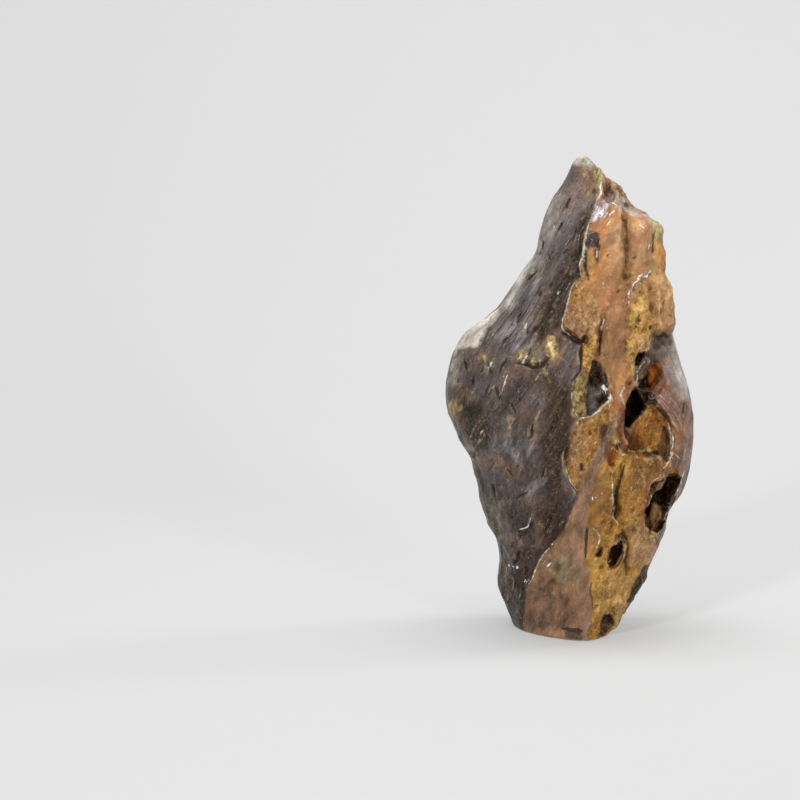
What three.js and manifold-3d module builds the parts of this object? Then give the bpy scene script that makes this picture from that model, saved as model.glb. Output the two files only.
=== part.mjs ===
// Pine bark stone: one upright piece of natural stone, in millimetres, +Z up.
// The origin is on the underside, at the middle of the stone's width and depth.
// A viewer in front of it looks along +Y and has +X on the right.

import * as THREE from 'three';
import { mergeVertices } from 'three/addons/utils/BufferGeometryUtils.js';
import Module from 'manifold-3d';

// ---- driving dimensions ---------------------------------------------------

const HEIGHT = 280;
const WIDTH = 146;
const DEPTH = 112;

const RINGS = 60;             // level rings from the underside to the tip
const POINTS_PER_FLANK = 8;   // points on each of the eight stretches of a ring
const HOLLOW_DETAIL = 3;      // how finely the ellipsoid of each hollow is divided

// The lines that run up the stone. Each entry is [height, x, y]. The left and
// right edges are the outline that is seen from the front. The front ridge parts
// the bark from the worn flesh, and the crest swells the bark's own flank.
const LEFT_EDGE = [
  [0, -33, 14], [8, -36, 12], [24, -42, 9], [39, -41, 7], [52, -43.5, 6], [60, -47.5, 5],
  [73, -52.5, 4], [88, -55, 4], [98, -58, 4], [105, -60.5, 4], [112, -66, 4], [123, -70.5, 3],
  [133, -73.5, 2], [151, -72.5, 1], [166, -68.5, 1], [176, -63, 1], [180, -57, 0],
  [187, -47.5, 0], [198, -38, 0], [212, -29, 0], [226, -20.5, 0], [241, -15.5, -1],
  [255, -10, -1], [269, -3, -1], [277, 0.5, -1], [280, 4, 0],
];
const RIGHT_EDGE = [
  [0, 22.5, 4], [9, 29.5, 4], [20, 36, 4], [30, 43, 4], [41, 48, 4], [52, 53, 4],
  [66, 57, 4], [74, 60, 5], [80, 65.8, 6], [88, 68.8, 6], [98, 71, 6], [112, 72.8, 6],
  [126, 72.8, 6], [141, 70.5, 6], [152, 67.5, 6], [162, 64, 6], [170, 61.5, 5],
  [175, 59.8, 2], [181, 61.8, -2], [189, 62.3, -4], [198, 61.8, -5], [206, 60, -5],
  [216, 55.2, -5], [233, 54.8, -5], [241, 53, -5], [246, 47, -4], [252, 39, -3],
  [259, 32, -2], [266, 27, -1], [273, 19, 0], [277, 15, 0], [280, 10, 0],
];
const FRONT_RIDGE = [
  [0, 11, -38], [15, 11.5, -42], [30, 10.5, -46], [48, 8, -50], [65, 6, -53],
  [90, 8, -56], [105, 8.5, -57], [120, 6, -57], [135, 3, -56], [150, 0, -54],
  [170, -4, -49], [190, -5, -44], [212, 3, -36], [235, 9, -27], [255, 14, -18],
  [270, 11, -10], [280, 7, -3],
];
const FRONT_LEFT_CREST = [
  [0, -24, -15], [14, -27, -18], [30, -27, -25], [46, -23, -34], [60, -19, -41],
  [80, -20, -46], [100, -28, -44], [125, -37, -40], [150, -40, -35], [175, -36, -32],
  [200, -21, -26], [225, -9, -20], [250, 0, -14], [270, 4, -7], [280, 5, -3],
];
const BACK_RIDGE = [
  [0, -4, 40], [12, -5, 44], [30, -6, 48], [60, -4, 53], [95, 2, 56], [125, 4, 55],
  [150, 4, 52], [175, 8, 46], [200, 12, 38], [225, 16, 29], [250, 14, 18], [270, 9, 9],
  [280, 7, 3],
];

// How far the middle of each other flank stands out past the straight line
// between its two edges, as a share of that line's length.
const FLANK_BULGE = { frontRight: 0.24, backRight: 0.22, backLeft: 0.21 };

// Hollows in the front right flank, worn through the stone's softer layers.
// x and z place the mouth; lean is the turn of its long side, in degrees,
// clockwise from upright as seen from the front.
const HOLLOWS = [
  { name: 'pocket under the tip', x: 20, z: 261, wide: 9, long: 15, deep: 12, lean: 0 },
  { name: 'shelf under the upper lobe', x: 50, z: 158, wide: 16, long: 46, deep: 18, lean: 38 },
  { name: 'long black hole', x: 35, z: 137, wide: 12, long: 36, deep: 34, lean: 14 },
  { name: 'ochre bowl', x: 43, z: 126, wide: 26, long: 34, deep: 24, lean: 12 },
  { name: 'great hole', x: 53, z: 82, wide: 18, long: 38, deep: 44, lean: 32 },
  { name: 'oval hole', x: 24, z: 52, wide: 9, long: 16, deep: 20, lean: 10 },
  { name: 'hole by the foot', x: 22, z: 11, wide: 9, long: 18, deep: 18, lean: 12 },
];

// ---- the outer shape ------------------------------------------------------

// A smooth line through [height, x, y] points, read at any height.
function edgeLine(points) {
  const slope = (i, axis) => {
    const before = points[Math.max(i - 1, 0)];
    const after = points[Math.min(i + 1, points.length - 1)];
    return (after[axis] - before[axis]) / (after[0] - before[0]);
  };
  return (height) => {
    const last = points.length - 2;
    const found = points.findIndex((point, i) => i > 0 && height <= point[0]) - 1;
    const i = found < 0 ? last : found;
    const [start, end] = [points[i], points[i + 1]];
    const run = end[0] - start[0];
    const t = (height - start[0]) / run;
    const along = [1, 2].map((axis) => (
      start[axis] * (2 * t ** 3 - 3 * t ** 2 + 1)
      + end[axis] * (3 * t ** 2 - 2 * t ** 3)
      + slope(i, axis) * run * (t ** 3 - 2 * t ** 2 + t)
      + slope(i + 1, axis) * run * (t ** 3 - t ** 2)
    ));
    return new THREE.Vector3(along[0], along[1], height);
  };
}

const leftEdge = edgeLine(LEFT_EDGE);
const rightEdge = edgeLine(RIGHT_EDGE);
const frontRidge = edgeLine(FRONT_RIDGE);
const frontLeftCrest = edgeLine(FRONT_LEFT_CREST);
const backRidge = edgeLine(BACK_RIDGE);

// The middle of the flank from one edge to the next, going round anticlockwise
// as seen from above, so that outward is to the right of the way.
function flankMiddle(from, to, bulge) {
  const way = to.clone().sub(from);
  const outward = new THREE.Vector3(way.y, -way.x, 0);
  return from.clone().add(to).multiplyScalar(0.5).addScaledVector(outward, bulge);
}

// One closed ring round the stone at a height: eight points joined smoothly,
// then stretched sideways to end exactly at the left and right edges.
function ringAt(height) {
  const left = leftEdge(height);
  const front = frontRidge(height);
  const right = rightEdge(height);
  const back = backRidge(height);
  const corners = [
    left, frontLeftCrest(height),
    front, flankMiddle(front, right, FLANK_BULGE.frontRight),
    right, flankMiddle(right, back, FLANK_BULGE.backRight),
    back, flankMiddle(back, left, FLANK_BULGE.backLeft),
  ];
  const curve = new THREE.CatmullRomCurve3(corners, true, 'centripetal');
  const ring = curve.getPoints(corners.length * POINTS_PER_FLANK).slice(0, -1);
  const xs = ring.map((point) => point.x);
  const [lowest, highest] = [Math.min(...xs), Math.max(...xs)];
  const { mapLinear } = THREE.MathUtils;
  for (const point of ring) {
    point.x = mapLinear(point.x, lowest, highest, left.x, right.x);
  }
  return ring;
}

// Rings from the underside to the tip, joined by triangles and closed by a
// flat cap at each end.
function outerShape() {
  const rings = [];
  for (let i = 0; i < RINGS; i += 1) {
    rings.push(ringAt(HEIGHT * i / (RINGS - 1)));
  }
  const around = rings[0].length;
  const positions = rings.flat().flatMap((point) => point.toArray());
  const triangles = [];
  for (let i = 0; i < RINGS - 1; i += 1) {
    for (let j = 0; j < around; j += 1) {
      const next = (j + 1) % around;
      const [low, lowNext] = [i * around + j, i * around + next];
      triangles.push(low, lowNext, lowNext + around, low, lowNext + around, low + around);
    }
  }
  for (const [ring, height, facesUp] of [[0, 0, false], [RINGS - 1, HEIGHT, true]]) {
    const middle = rings[ring]
      .reduce((sum, point) => sum.add(point), new THREE.Vector3())
      .divideScalar(around);
    const hub = positions.length / 3;
    positions.push(middle.x, middle.y, height);
    for (let j = 0; j < around; j += 1) {
      const rim = ring * around + j;
      const rimNext = ring * around + (j + 1) % around;
      triangles.push(hub, ...(facesUp ? [rim, rimNext] : [rimNext, rim]));
    }
  }
  const geometry = new THREE.BufferGeometry();
  geometry.setAttribute('position', new THREE.Float32BufferAttribute(positions, 3));
  geometry.setIndex(triangles);
  return geometry;
}

// ---- the hollows ----------------------------------------------------------

// How far forward the outer shape reaches at a place seen from the front.
function frontFace(x, z) {
  const ring = ringAt(z);
  const reach = ring.map((point, j) => {
    const next = ring[(j + 1) % ring.length];
    const share = (x - point.x) / (next.x - point.x);
    return share >= 0 && share <= 1 ? point.y + share * (next.y - point.y) : Infinity;
  });
  return Math.min(...reach);
}

// An ellipsoid whose middle lies on the outer shape, so half of it cuts in.
function hollowShape({ x, z, wide, long, deep, lean }) {
  const shape = new THREE.IcosahedronGeometry(1, HOLLOW_DETAIL);
  shape.scale(wide / 2, deep / 2, long / 2);
  shape.rotateY(THREE.MathUtils.degToRad(lean));
  shape.translate(x, frontFace(x, z), z);
  return shape;
}

// ---- joining and cutting --------------------------------------------------

const wasm = await Module();
wasm.setup();

function toSolid(geometry) {
  geometry.deleteAttribute('normal');
  geometry.deleteAttribute('uv');
  const merged = mergeVertices(geometry);
  return new wasm.Manifold(new wasm.Mesh({
    numProp: 3,
    vertProperties: new Float32Array(merged.attributes.position.array),
    triVerts: new Uint32Array(merged.index.array),
  }));
}

function toGeometry(solid) {
  const mesh = solid.getMesh();
  const geometry = new THREE.BufferGeometry();
  geometry.setAttribute('position', new THREE.BufferAttribute(mesh.vertProperties, 3));
  geometry.setIndex(new THREE.BufferAttribute(mesh.triVerts, 1));
  return geometry;
}

// Scale the shape to its stated size and stand it on the origin.
function fitToSize(geometry) {
  geometry.computeBoundingBox();
  const size = geometry.boundingBox.getSize(new THREE.Vector3());
  geometry.scale(WIDTH / size.x, DEPTH / size.y, HEIGHT / size.z);
  geometry.computeBoundingBox();
  const middle = geometry.boundingBox.getCenter(new THREE.Vector3());
  geometry.translate(-middle.x, -middle.y, -geometry.boundingBox.min.z);
  return geometry;
}

// ---- the stone ------------------------------------------------------------

function makeStone() {
  let solid = toSolid(outerShape());
  for (const hollow of HOLLOWS) {
    solid = solid.subtract(toSolid(hollowShape(hollow)));
  }
  const material = new THREE.MeshStandardMaterial({
    color: 0x8a6f58,
    roughness: 0.3,
    metalness: 0,
  });
  const stone = new THREE.Mesh(fitToSize(toGeometry(solid)), material);
  stone.name = 'stone';
  return stone;
}

const group = new THREE.Group();
group.add(makeStone());

export default group;
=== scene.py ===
# %% [markdown]
# # A pine bark stone, carved and finished
# The real object is one piece of rock. Its left side keeps a dark skin that looks
# like the bark of a pine. On the right the skin has gone, and water has worn the
# ochre flesh into flutes, lumps and hollows. It could be sculpted by hand. Here
# every patch and hollow is drawn on flat maps instead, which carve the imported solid
# and stain it, so that each one can be read, moved and made again.

import math
import time

import bpy
import numpy as np
import openvdb
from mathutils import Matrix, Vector


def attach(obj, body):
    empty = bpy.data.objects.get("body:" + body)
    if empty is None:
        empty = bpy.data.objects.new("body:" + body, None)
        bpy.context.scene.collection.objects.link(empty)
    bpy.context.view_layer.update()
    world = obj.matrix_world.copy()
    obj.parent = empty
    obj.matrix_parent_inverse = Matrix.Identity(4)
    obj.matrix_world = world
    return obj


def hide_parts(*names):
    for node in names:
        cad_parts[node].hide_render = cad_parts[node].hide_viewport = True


started = time.time()
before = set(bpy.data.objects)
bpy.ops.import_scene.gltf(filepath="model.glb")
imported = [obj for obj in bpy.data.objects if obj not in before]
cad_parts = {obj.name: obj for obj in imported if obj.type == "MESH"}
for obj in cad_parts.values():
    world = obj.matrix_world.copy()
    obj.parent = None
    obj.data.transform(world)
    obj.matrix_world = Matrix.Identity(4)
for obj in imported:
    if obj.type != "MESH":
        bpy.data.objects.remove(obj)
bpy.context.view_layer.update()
MM = 0.001

# %% [markdown]
# ## Camera
# A short lens close by makes the near side of a stone swell. A long lens from
# further off keeps its true proportions, so that is used. The camera looks a little
# down, and aims left of the stone, which leaves an empty half beside it.

# %% Camera
LEAN = math.radians(8)        # how far the camera looks down
VIEW_WIDTH = 0.470            # width of the picture at the stone, m
LENS = 150.0
SENSOR = 36.0
AIM = Vector((-0.0999, 0.0, 0.1367))
FURTHEST = 20.0               # m

camera_data = bpy.data.cameras.new("studio_camera")
camera_data.lens = LENS
camera_data.sensor_width = SENSOR
camera_data.clip_end = FURTHEST
camera = bpy.data.objects.new("studio_camera", camera_data)
bpy.context.scene.collection.objects.link(camera)
distance = VIEW_WIDTH * LENS / SENSOR
camera.location = AIM + distance * Vector((0, -math.cos(LEAN), math.sin(LEAN)))
camera.rotation_euler = (math.pi / 2 - LEAN, 0, 0)
bpy.context.scene.camera = camera
print("camera stands", round(distance, 2), "m away")

# %% [markdown]
# ## Paper sweep
# A studio hangs one roll of pale paper from the wall out over the floor, so no
# corner shows behind the stone. A floor and a wall with a bevel between them would
# do, but a profile that is drawn once and pulled sideways is simpler. The paper
# glows a little by itself, like paper in a white room, which keeps it pale where
# the stone shades it.

# %% Paper sweep
WALL_AT, WALL_TOP, BEND = 1.3, 2.6, 0.9        # m
PAPER_FRONT, HALF_WIDTH = -2.6, 3.2            # m
BEND_STEPS = 24
PAPER_GREY, PAPER_GLOW = 0.30, 0.31


def sweep_profile():
    profile = [(PAPER_FRONT, 0.0), (WALL_AT - BEND, 0.0)]
    for number in range(1, BEND_STEPS + 1):
        turn = number / BEND_STEPS * math.pi / 2
        profile.append((WALL_AT - BEND + BEND * math.sin(turn), BEND - BEND * math.cos(turn)))
    return profile + [(WALL_AT, WALL_TOP)]


def make_sweep():
    profile = sweep_profile()
    verts = [(side * HALF_WIDTH, y, z) for y, z in profile for side in (-1, 1)]
    faces = [(2 * i, 2 * i + 1, 2 * i + 3, 2 * i + 2) for i in range(len(profile) - 1)]
    mesh = bpy.data.meshes.new("studio_sweep")
    mesh.from_pydata(verts, [], faces)
    mesh.polygons.foreach_set("use_smooth", [True] * len(faces))
    sweep = bpy.data.objects.new("studio_sweep", mesh)
    bpy.context.scene.collection.objects.link(sweep)
    return sweep


def make_paper():
    paper = bpy.data.materials.new("pale_paper")
    paper.use_nodes = True
    shader = paper.node_tree.nodes["Principled BSDF"]
    shader.inputs["Base Color"].default_value = (PAPER_GREY, PAPER_GREY, PAPER_GREY, 1)
    shader.inputs["Emission Color"].default_value = (1, 1, 1, 1)
    shader.inputs["Emission Strength"].default_value = PAPER_GLOW
    shader.inputs["Roughness"].default_value = 0.9
    shader.inputs["Specular IOR Level"].default_value = 0.1
    return paper


sweep = make_sweep()
sweep.data.materials.append(make_paper())
print("sweep of", len(sweep.data.polygons), "strips")

# %% [markdown]
# ## Lamps
# A sky picture could light the stone, but it would also paint its own colours into
# the wet gloss. Softboxes are used, as in a studio: a key from the left, a broad one
# overhead, a fill from the right, a weak one on the right flank, and one that only
# washes the wall. A dim white room fills the rest.

# %% Lamps
MIDDLE = (0.0, 0.0, 0.14)
SOFTBOXES = [
    # name, place, what it points at, width and height in m, power in W
    ("key_softbox", (-0.65, -1.5, 0.95), MIDDLE, (0.22, 0.22), 17),
    ("top_softbox", (-0.1, 0.0, 1.2), MIDDLE, (0.8, 0.8), 7),
    ("fill_softbox", (1.0, -1.9, 0.7), MIDDLE, (0.36, 0.36), 16),
    ("right_softbox", (1.0, 0.35, 0.8), (0.05, 0.0, 0.05), (0.3, 0.5), 5),
    ("wall_softbox", (0.0, 0.3, 1.7), (0.0, 1.3, 0.1), (1.8, 0.6), 15),
]
ROOM_LIGHT = 0.30

for name, place, target, size, power in SOFTBOXES:
    lamp = bpy.data.lights.new(name, "AREA")
    lamp.shape = "RECTANGLE"
    lamp.size, lamp.size_y = size
    lamp.energy = power
    holder = bpy.data.objects.new(name, lamp)
    holder.location = place
    aim_at = Vector(target) - Vector(place)
    holder.rotation_euler = aim_at.to_track_quat("-Z", "Y").to_euler()
    bpy.context.scene.collection.objects.link(holder)

room = bpy.data.worlds.new("white_room")
room.use_nodes = True
room.node_tree.nodes["Background"].inputs["Color"].default_value = (1, 1, 1, 1)
room.node_tree.nodes["Background"].inputs["Strength"].default_value = ROOM_LIGHT
bpy.context.scene.world = room
bpy.context.scene.view_settings.view_transform = "Standard"
print("lamps:", len(SOFTBOXES))

# %% [markdown]
# ## Random grain
# Rock is never even, so most steps need smooth random values. Blender has its own
# noise, but numpy fills a whole map at once. A table of random numbers is read at
# each point and blended between neighbours, which gives the same stone every time.
# Each seed starts at another place of its table, so that no two grains line up.

# %% Smooth random values
TABLE = 64                 # random numbers along each side of the table
TABLE_SHIFT = 0.37         # cells that each seed moves the table


def ease(value, low, high):
    """0 below low, 1 above high, and a smooth step between."""
    share = np.clip((value - low) / (high - low), 0, 1)
    return share * share * (3 - 2 * share)


def three(size):
    """One size for all directions, or three sizes as they are."""
    return (size,) * 3 if np.isscalar(size) else size


def mottle(x, y, z, size, seed):
    """Smooth random values from -1 to 1 that change over about size mm."""
    table = np.random.default_rng(seed).uniform(-1, 1, (TABLE,) * 3).astype(np.float32)
    cell, share = [], []
    for axis, one in zip((x, y, z), three(size)):
        scaled = np.asarray(axis, dtype=np.float32) / one + TABLE_SHIFT * seed
        whole_cell = np.floor(scaled)
        part = scaled - whole_cell
        cell.append(whole_cell.astype(np.int32) % TABLE)
        share.append(part * part * (3 - 2 * part))
    total = 0
    for corner in range(8):
        steps = [(corner >> axis) & 1 for axis in range(3)]
        index = tuple((c + s) % TABLE for c, s in zip(cell, steps))
        weight = 1
        for part, step in zip(share, steps):
            weight = weight * (part if step else 1 - part)
        total = total + table[index] * weight
    return total


def rough(x, y, z, size, seed, layers=3):
    """Several layers of mottle, each half the size and half the strength."""
    sizes = np.array(three(size), dtype=float)
    return sum(
        mottle(x, y, z, tuple(sizes / 2**i), seed + 7 * i) / 2**i for i in range(layers)
    )


print("random table:", TABLE**3, "numbers")

# %% [markdown]
# ## Scoops
# Broken rock has shallow scoops that meet at sharp edges. Smooth values can't make
# such edges. So random centres are strewn in space, one to a cell, and the surface
# is lowest where it is nearest to one of them. A slow sway bends the rows of cells.

# %% Scoops with sharp edges between them
CENTRES = 32               # cells along each side, each with one centre
CENTRE_SHIFT = 0.41        # cells that each seed moves the centres
SWAY = 0.25                # of a cell
SCOOP_DEPTH = 3.2


def scoops(x, y, z, size, seed):
    """Shallow scoops about size mm wide that meet at sharp edges, from -1 to 1."""
    spread = (CENTRES, CENTRES, CENTRES, 3)
    centres = np.random.default_rng(seed).uniform(0, 1, spread).astype(np.float32)
    sway = SWAY * np.stack([mottle(x, y, z, size, seed + i) for i in range(3)], axis=-1)
    place = np.stack([axis / one for axis, one in zip((x, y, z), three(size))], axis=-1)
    place = (place + sway + CENTRE_SHIFT * seed).astype(np.float32)
    home = np.floor(place).astype(np.int32)
    nearest = np.full(len(place), 9.0, dtype=np.float32)
    for shift in np.ndindex(3, 3, 3):
        cell = home + np.array(shift, dtype=np.int32) - 1
        offset = place - cell - centres[tuple((cell % CENTRES).T)]
        nearest = np.minimum(nearest, (offset**2).sum(axis=1))
    return np.clip(SCOOP_DEPTH * nearest - 1, -1, 1)


print("grain ready")

# %% [markdown]
# ## Maps of the two faces
# The stone is read square on from the front and from the back, on a plane that
# leans back a little. Each face has a map of places in mm, u across and v up. The
# outlines of patches, ridges and hollows are drawn on it. They could be painted on
# a picture, but an outline stays sharp at any size and can be changed by hand.
# Random grain shakes every outline, because nothing on the stone has a ruled edge.

# %% A sheet that measures
STEP = 0.5                 # mm between two places on a map
FAR = 12.0                 # a stain's distance is known this far from its edge
SHEET_WIDE = (-84, 84)     # mm
SHEET_TALL = (-18, 292)    # mm
SHAKE_SIZE = 9             # mm


class Sheet:
    """Flat places on one side of the stone, and how they lie to lines and outlines."""

    def __init__(self, seed):
        across = np.arange(*SHEET_WIDE, STEP, dtype=np.float32)
        up = np.arange(*SHEET_TALL, STEP, dtype=np.float32)
        self.u, self.v = np.meshgrid(across, up, indexing="ij")
        flat = 0 * self.u
        self.shaken_u = self.u + rough(self.u, self.v, flat, SHAKE_SIZE, seed, 3)
        self.shaken_v = self.v + rough(self.u, self.v, flat, SHAKE_SIZE, seed + 1, 3)

    def near(self, line):
        """The part of the map around some points."""
        points = np.array(line)
        low = (points.min(axis=0) - FAR - (self.u[0, 0], self.v[0, 0])) / STEP
        high = (points.max(axis=0) + FAR - (self.u[0, 0], self.v[0, 0])) / STEP
        low = np.maximum(low, 0).astype(int)
        high = np.maximum(high, 1).astype(int)
        return (slice(low[0], high[0]), slice(low[1], high[1]))

    def to_line(self, line, part, shake=1.0):
        """Distance to a line, how far along it (0 to 1), on which side (-1 or 1),
        and how far past its ends in mm."""
        u = self.u[part] + shake * (self.shaken_u[part] - self.u[part])
        v = self.v[part] + shake * (self.shaken_v[part] - self.v[part])
        nearest, place = np.full_like(u, 1e9), np.zeros_like(u)
        side, past = np.ones_like(u), np.zeros_like(u)
        last = len(line) - 2
        for number, ((au, av), (bu, bv)) in enumerate(zip(line[:-1], line[1:])):
            du, dv = bu - au, bv - av
            free = ((u - au) * du + (v - av) * dv) / (du * du + dv * dv)
            t = np.clip(free, 0, 1)
            gap = np.hypot(u - au - t * du, v - av - t * dv)
            closer = gap < nearest
            before = np.maximum(-free, 0) if number == 0 else 0 * u
            after = np.maximum(free - 1, 0) if number == last else 0 * u
            place = np.where(closer, (number + t) / (last + 1), place)
            side = np.where(closer, np.where(du * (v - av) > dv * (u - au), 1, -1), side)
            past = np.where(closer, (before + after) * math.hypot(du, dv), past)
            nearest = np.minimum(nearest, gap)
        return nearest, place, side, past

    def inside(self, outline, part):
        """How far each place is inside an outline, in mm. Outside is negative."""
        u, v = self.shaken_u[part], self.shaken_v[part]
        within = np.zeros(u.shape, dtype=bool)
        for (au, av), (bu, bv) in zip(outline, outline[1:] + outline[:1]):
            if av != bv:
                crosses = (av > v) != (bv > v)
                within ^= crosses & (u < (bu - au) * (v - av) / (bv - av) + au)
        gap = self.to_line(outline + outline[:1], part)[0]
        return np.where(within, gap, -gap)


print("sheet, mm:", SHEET_WIDE, "across and", SHEET_TALL, "up")

# %% [markdown]
# ## Relief and stains
# A face adds what is drawn on the sheet. Relief is kept in mm out of the surface. A
# stain is kept as the distance inside its outline, so that its edge can be sharp or
# soft later. The thinnest lines are finer than the mesh. They are kept as the
# distance to one side of the line, together with half its width, because a
# distance stays true between two points of the mesh where a thin colour would blur.

# %% A face that is carved and stained
FINE_LINES = ("cream", "glint", "crack", "lilac", "umber", "straw")


class Face(Sheet):
    """What is carved on one side of the stone, and how that side is stained."""

    def __init__(self, seed):
        super().__init__(seed)
        flat = 0 * self.u
        self.relief = flat.copy()
        self.stain = {"line_side": flat + FAR, "line_half": flat - FAR, "line_lip": flat.copy()}
        self.stain.update({"line_" + kind: flat.copy() for kind in FINE_LINES})

    def raise_patch(self, outline, height, edge, slope=None):
        """Lift an outline by height mm, or sink it, with an edge so many mm wide.
        A slope is two places: full height at the first, none at the second."""
        part = self.near(outline)
        change = height * ease(self.inside(outline, part), -edge / 2, edge / 2)
        if slope:
            (au, av), (bu, bv) = slope
            ahead = (self.u[part] - au) * (bu - au) + (self.v[part] - av) * (bv - av)
            change *= np.clip(1 - ahead / ((bu - au) ** 2 + (bv - av) ** 2), 0, 1)
        self.relief[part] += change

    def raise_line(self, line, height, width):
        """A rib along a line, or a groove, that thins out at both ends."""
        part = self.near(line)
        gap, place, _, _ = self.to_line(line, part)
        fade = ease(place, -0.05, 0.15) * ease(-place, -1.05, -0.85)
        self.relief[part] += height * fade * np.exp(-((2 * gap / width) ** 2))

    def stain_with(self, name, distance, part):
        layer = self.stain.setdefault(name, np.full_like(self.u, -FAR))
        layer[part] = np.maximum(layer[part], np.clip(distance, -FAR, FAR))

    def stain_patch(self, name, outline):
        part = self.near(outline)
        self.stain_with(name, self.inside(outline, part), part)

    def stain_line(self, name, line, width):
        """Stain a line that is width mm wide in its middle and thin at its ends."""
        part = self.near(line)
        gap, place, _, _ = self.to_line(line, part)
        half = 0.5 * width * (0.35 + 0.65 * np.sin(math.pi * place))
        self.stain_with(name, half - gap, part)

    def draw_line(self, kind, line, width, lip=0.0, shake=1.0):
        """A fine line. A lip is a pale edge beside it, and the shake is how much of
        the sheet's own shake it takes."""
        part = self.near(line)
        gap, place, side, past = self.to_line(line, part, shake)
        closer = gap < np.abs(self.stain["line_side"][part])
        half = 0.5 * width * (0.45 + 0.55 * np.sin(math.pi * place)) - past
        written = {"line_side": side * gap, "line_half": half, "line_lip": lip}
        written.update({"line_" + name: float(name == kind) for name in FINE_LINES})
        for name, value in written.items():
            layer = self.stain[name]
            layer[part] = np.where(closer, value, layer[part])

    def shape_patches(self, table):
        """Raise or sink each patch of a table, and stain it."""
        for _, height, edge, stain, outline in table:
            self.raise_patch(outline, height, edge)
            self.stain_patch(stain, outline)

    def wash(self, table):
        """Stain the outlines that a table lists for each stain."""
        for stain, outlines in table.items():
            for outline in outlines:
                self.stain_patch(stain, outline)


front = Face(seed=11)
back = Face(seed=53)
print("maps of", front.u.shape, "places")

# %% [markdown]
# ## The edge between bark and flesh
# The dark skin ends along a ragged line that runs from the tip to the foot. Above
# the shoulder the flesh stands a little proud of the skin, with a thin rim that
# carries a painted highlight.
# Lower down the skin is the higher one. Two meshes could meet here, but one mesh
# with a step can't gape. Everything else on the front is placed against this line.

# %% Edge of the bark on the front
BARK_EDGE = [
    (14, 284), (13.5, 274), (14.5, 260), (14, 251.5), (10.5, 240.5), (7.5, 231), (6, 222.5),
    (3.5, 210.5), (4, 205.5), (0.5, 202), (-2, 196.5), (-3, 191), (-6.5, 182), (-7, 177),
    (-3, 173.5), (3.5, 170), (3, 163.5), (3.5, 155), (0, 147), (-2, 140), (-1, 129.5),
    (2.5, 125.5), (1, 120.5), (-3, 116), (-6, 103), (-4.5, 94.5), (-1, 86.5), (2, 79.5),
    (-0.5, 69.5), (-10, 54.5), (-16.5, 46.5), (-20.5, 37.5), (-23, 31), (-26, 20.5), (-26.5, 10.5),
    (-27.5, 2), (-27.5, -17),
]
BARK_SIDE = BARK_EDGE + [(-100, -17), (-100, 300), (14, 300)]
FLESH_STEP = 3.0           # mm that the flesh rises from foot to shoulder
SKIN_HEIGHT = 1.2          # mm that the skin stands higher lower down
whole = (slice(None), slice(None))

in_bark = front.inside(BARK_SIDE, whole)
front.stain["bark"] = np.clip(in_bark, -FAR, FAR)
high_up = ease(front.v, 160, 182)
front.relief += ease(-in_bark, -0.5, 1.0) * (FLESH_STEP * high_up - SKIN_HEIGHT)
# a shallow groove runs in the skin, just beside its edge
front.relief -= 1.6 * high_up * np.exp(-(((in_bark - 2.5) / 2.2) ** 2))
for rim in (BARK_EDGE[3:9], BARK_EDGE[8:15]):
    front.raise_line(rim, 0.8, 1.6)
print("bark covers", round(float((in_bark > 0).mean()), 2), "of the front map")
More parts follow.
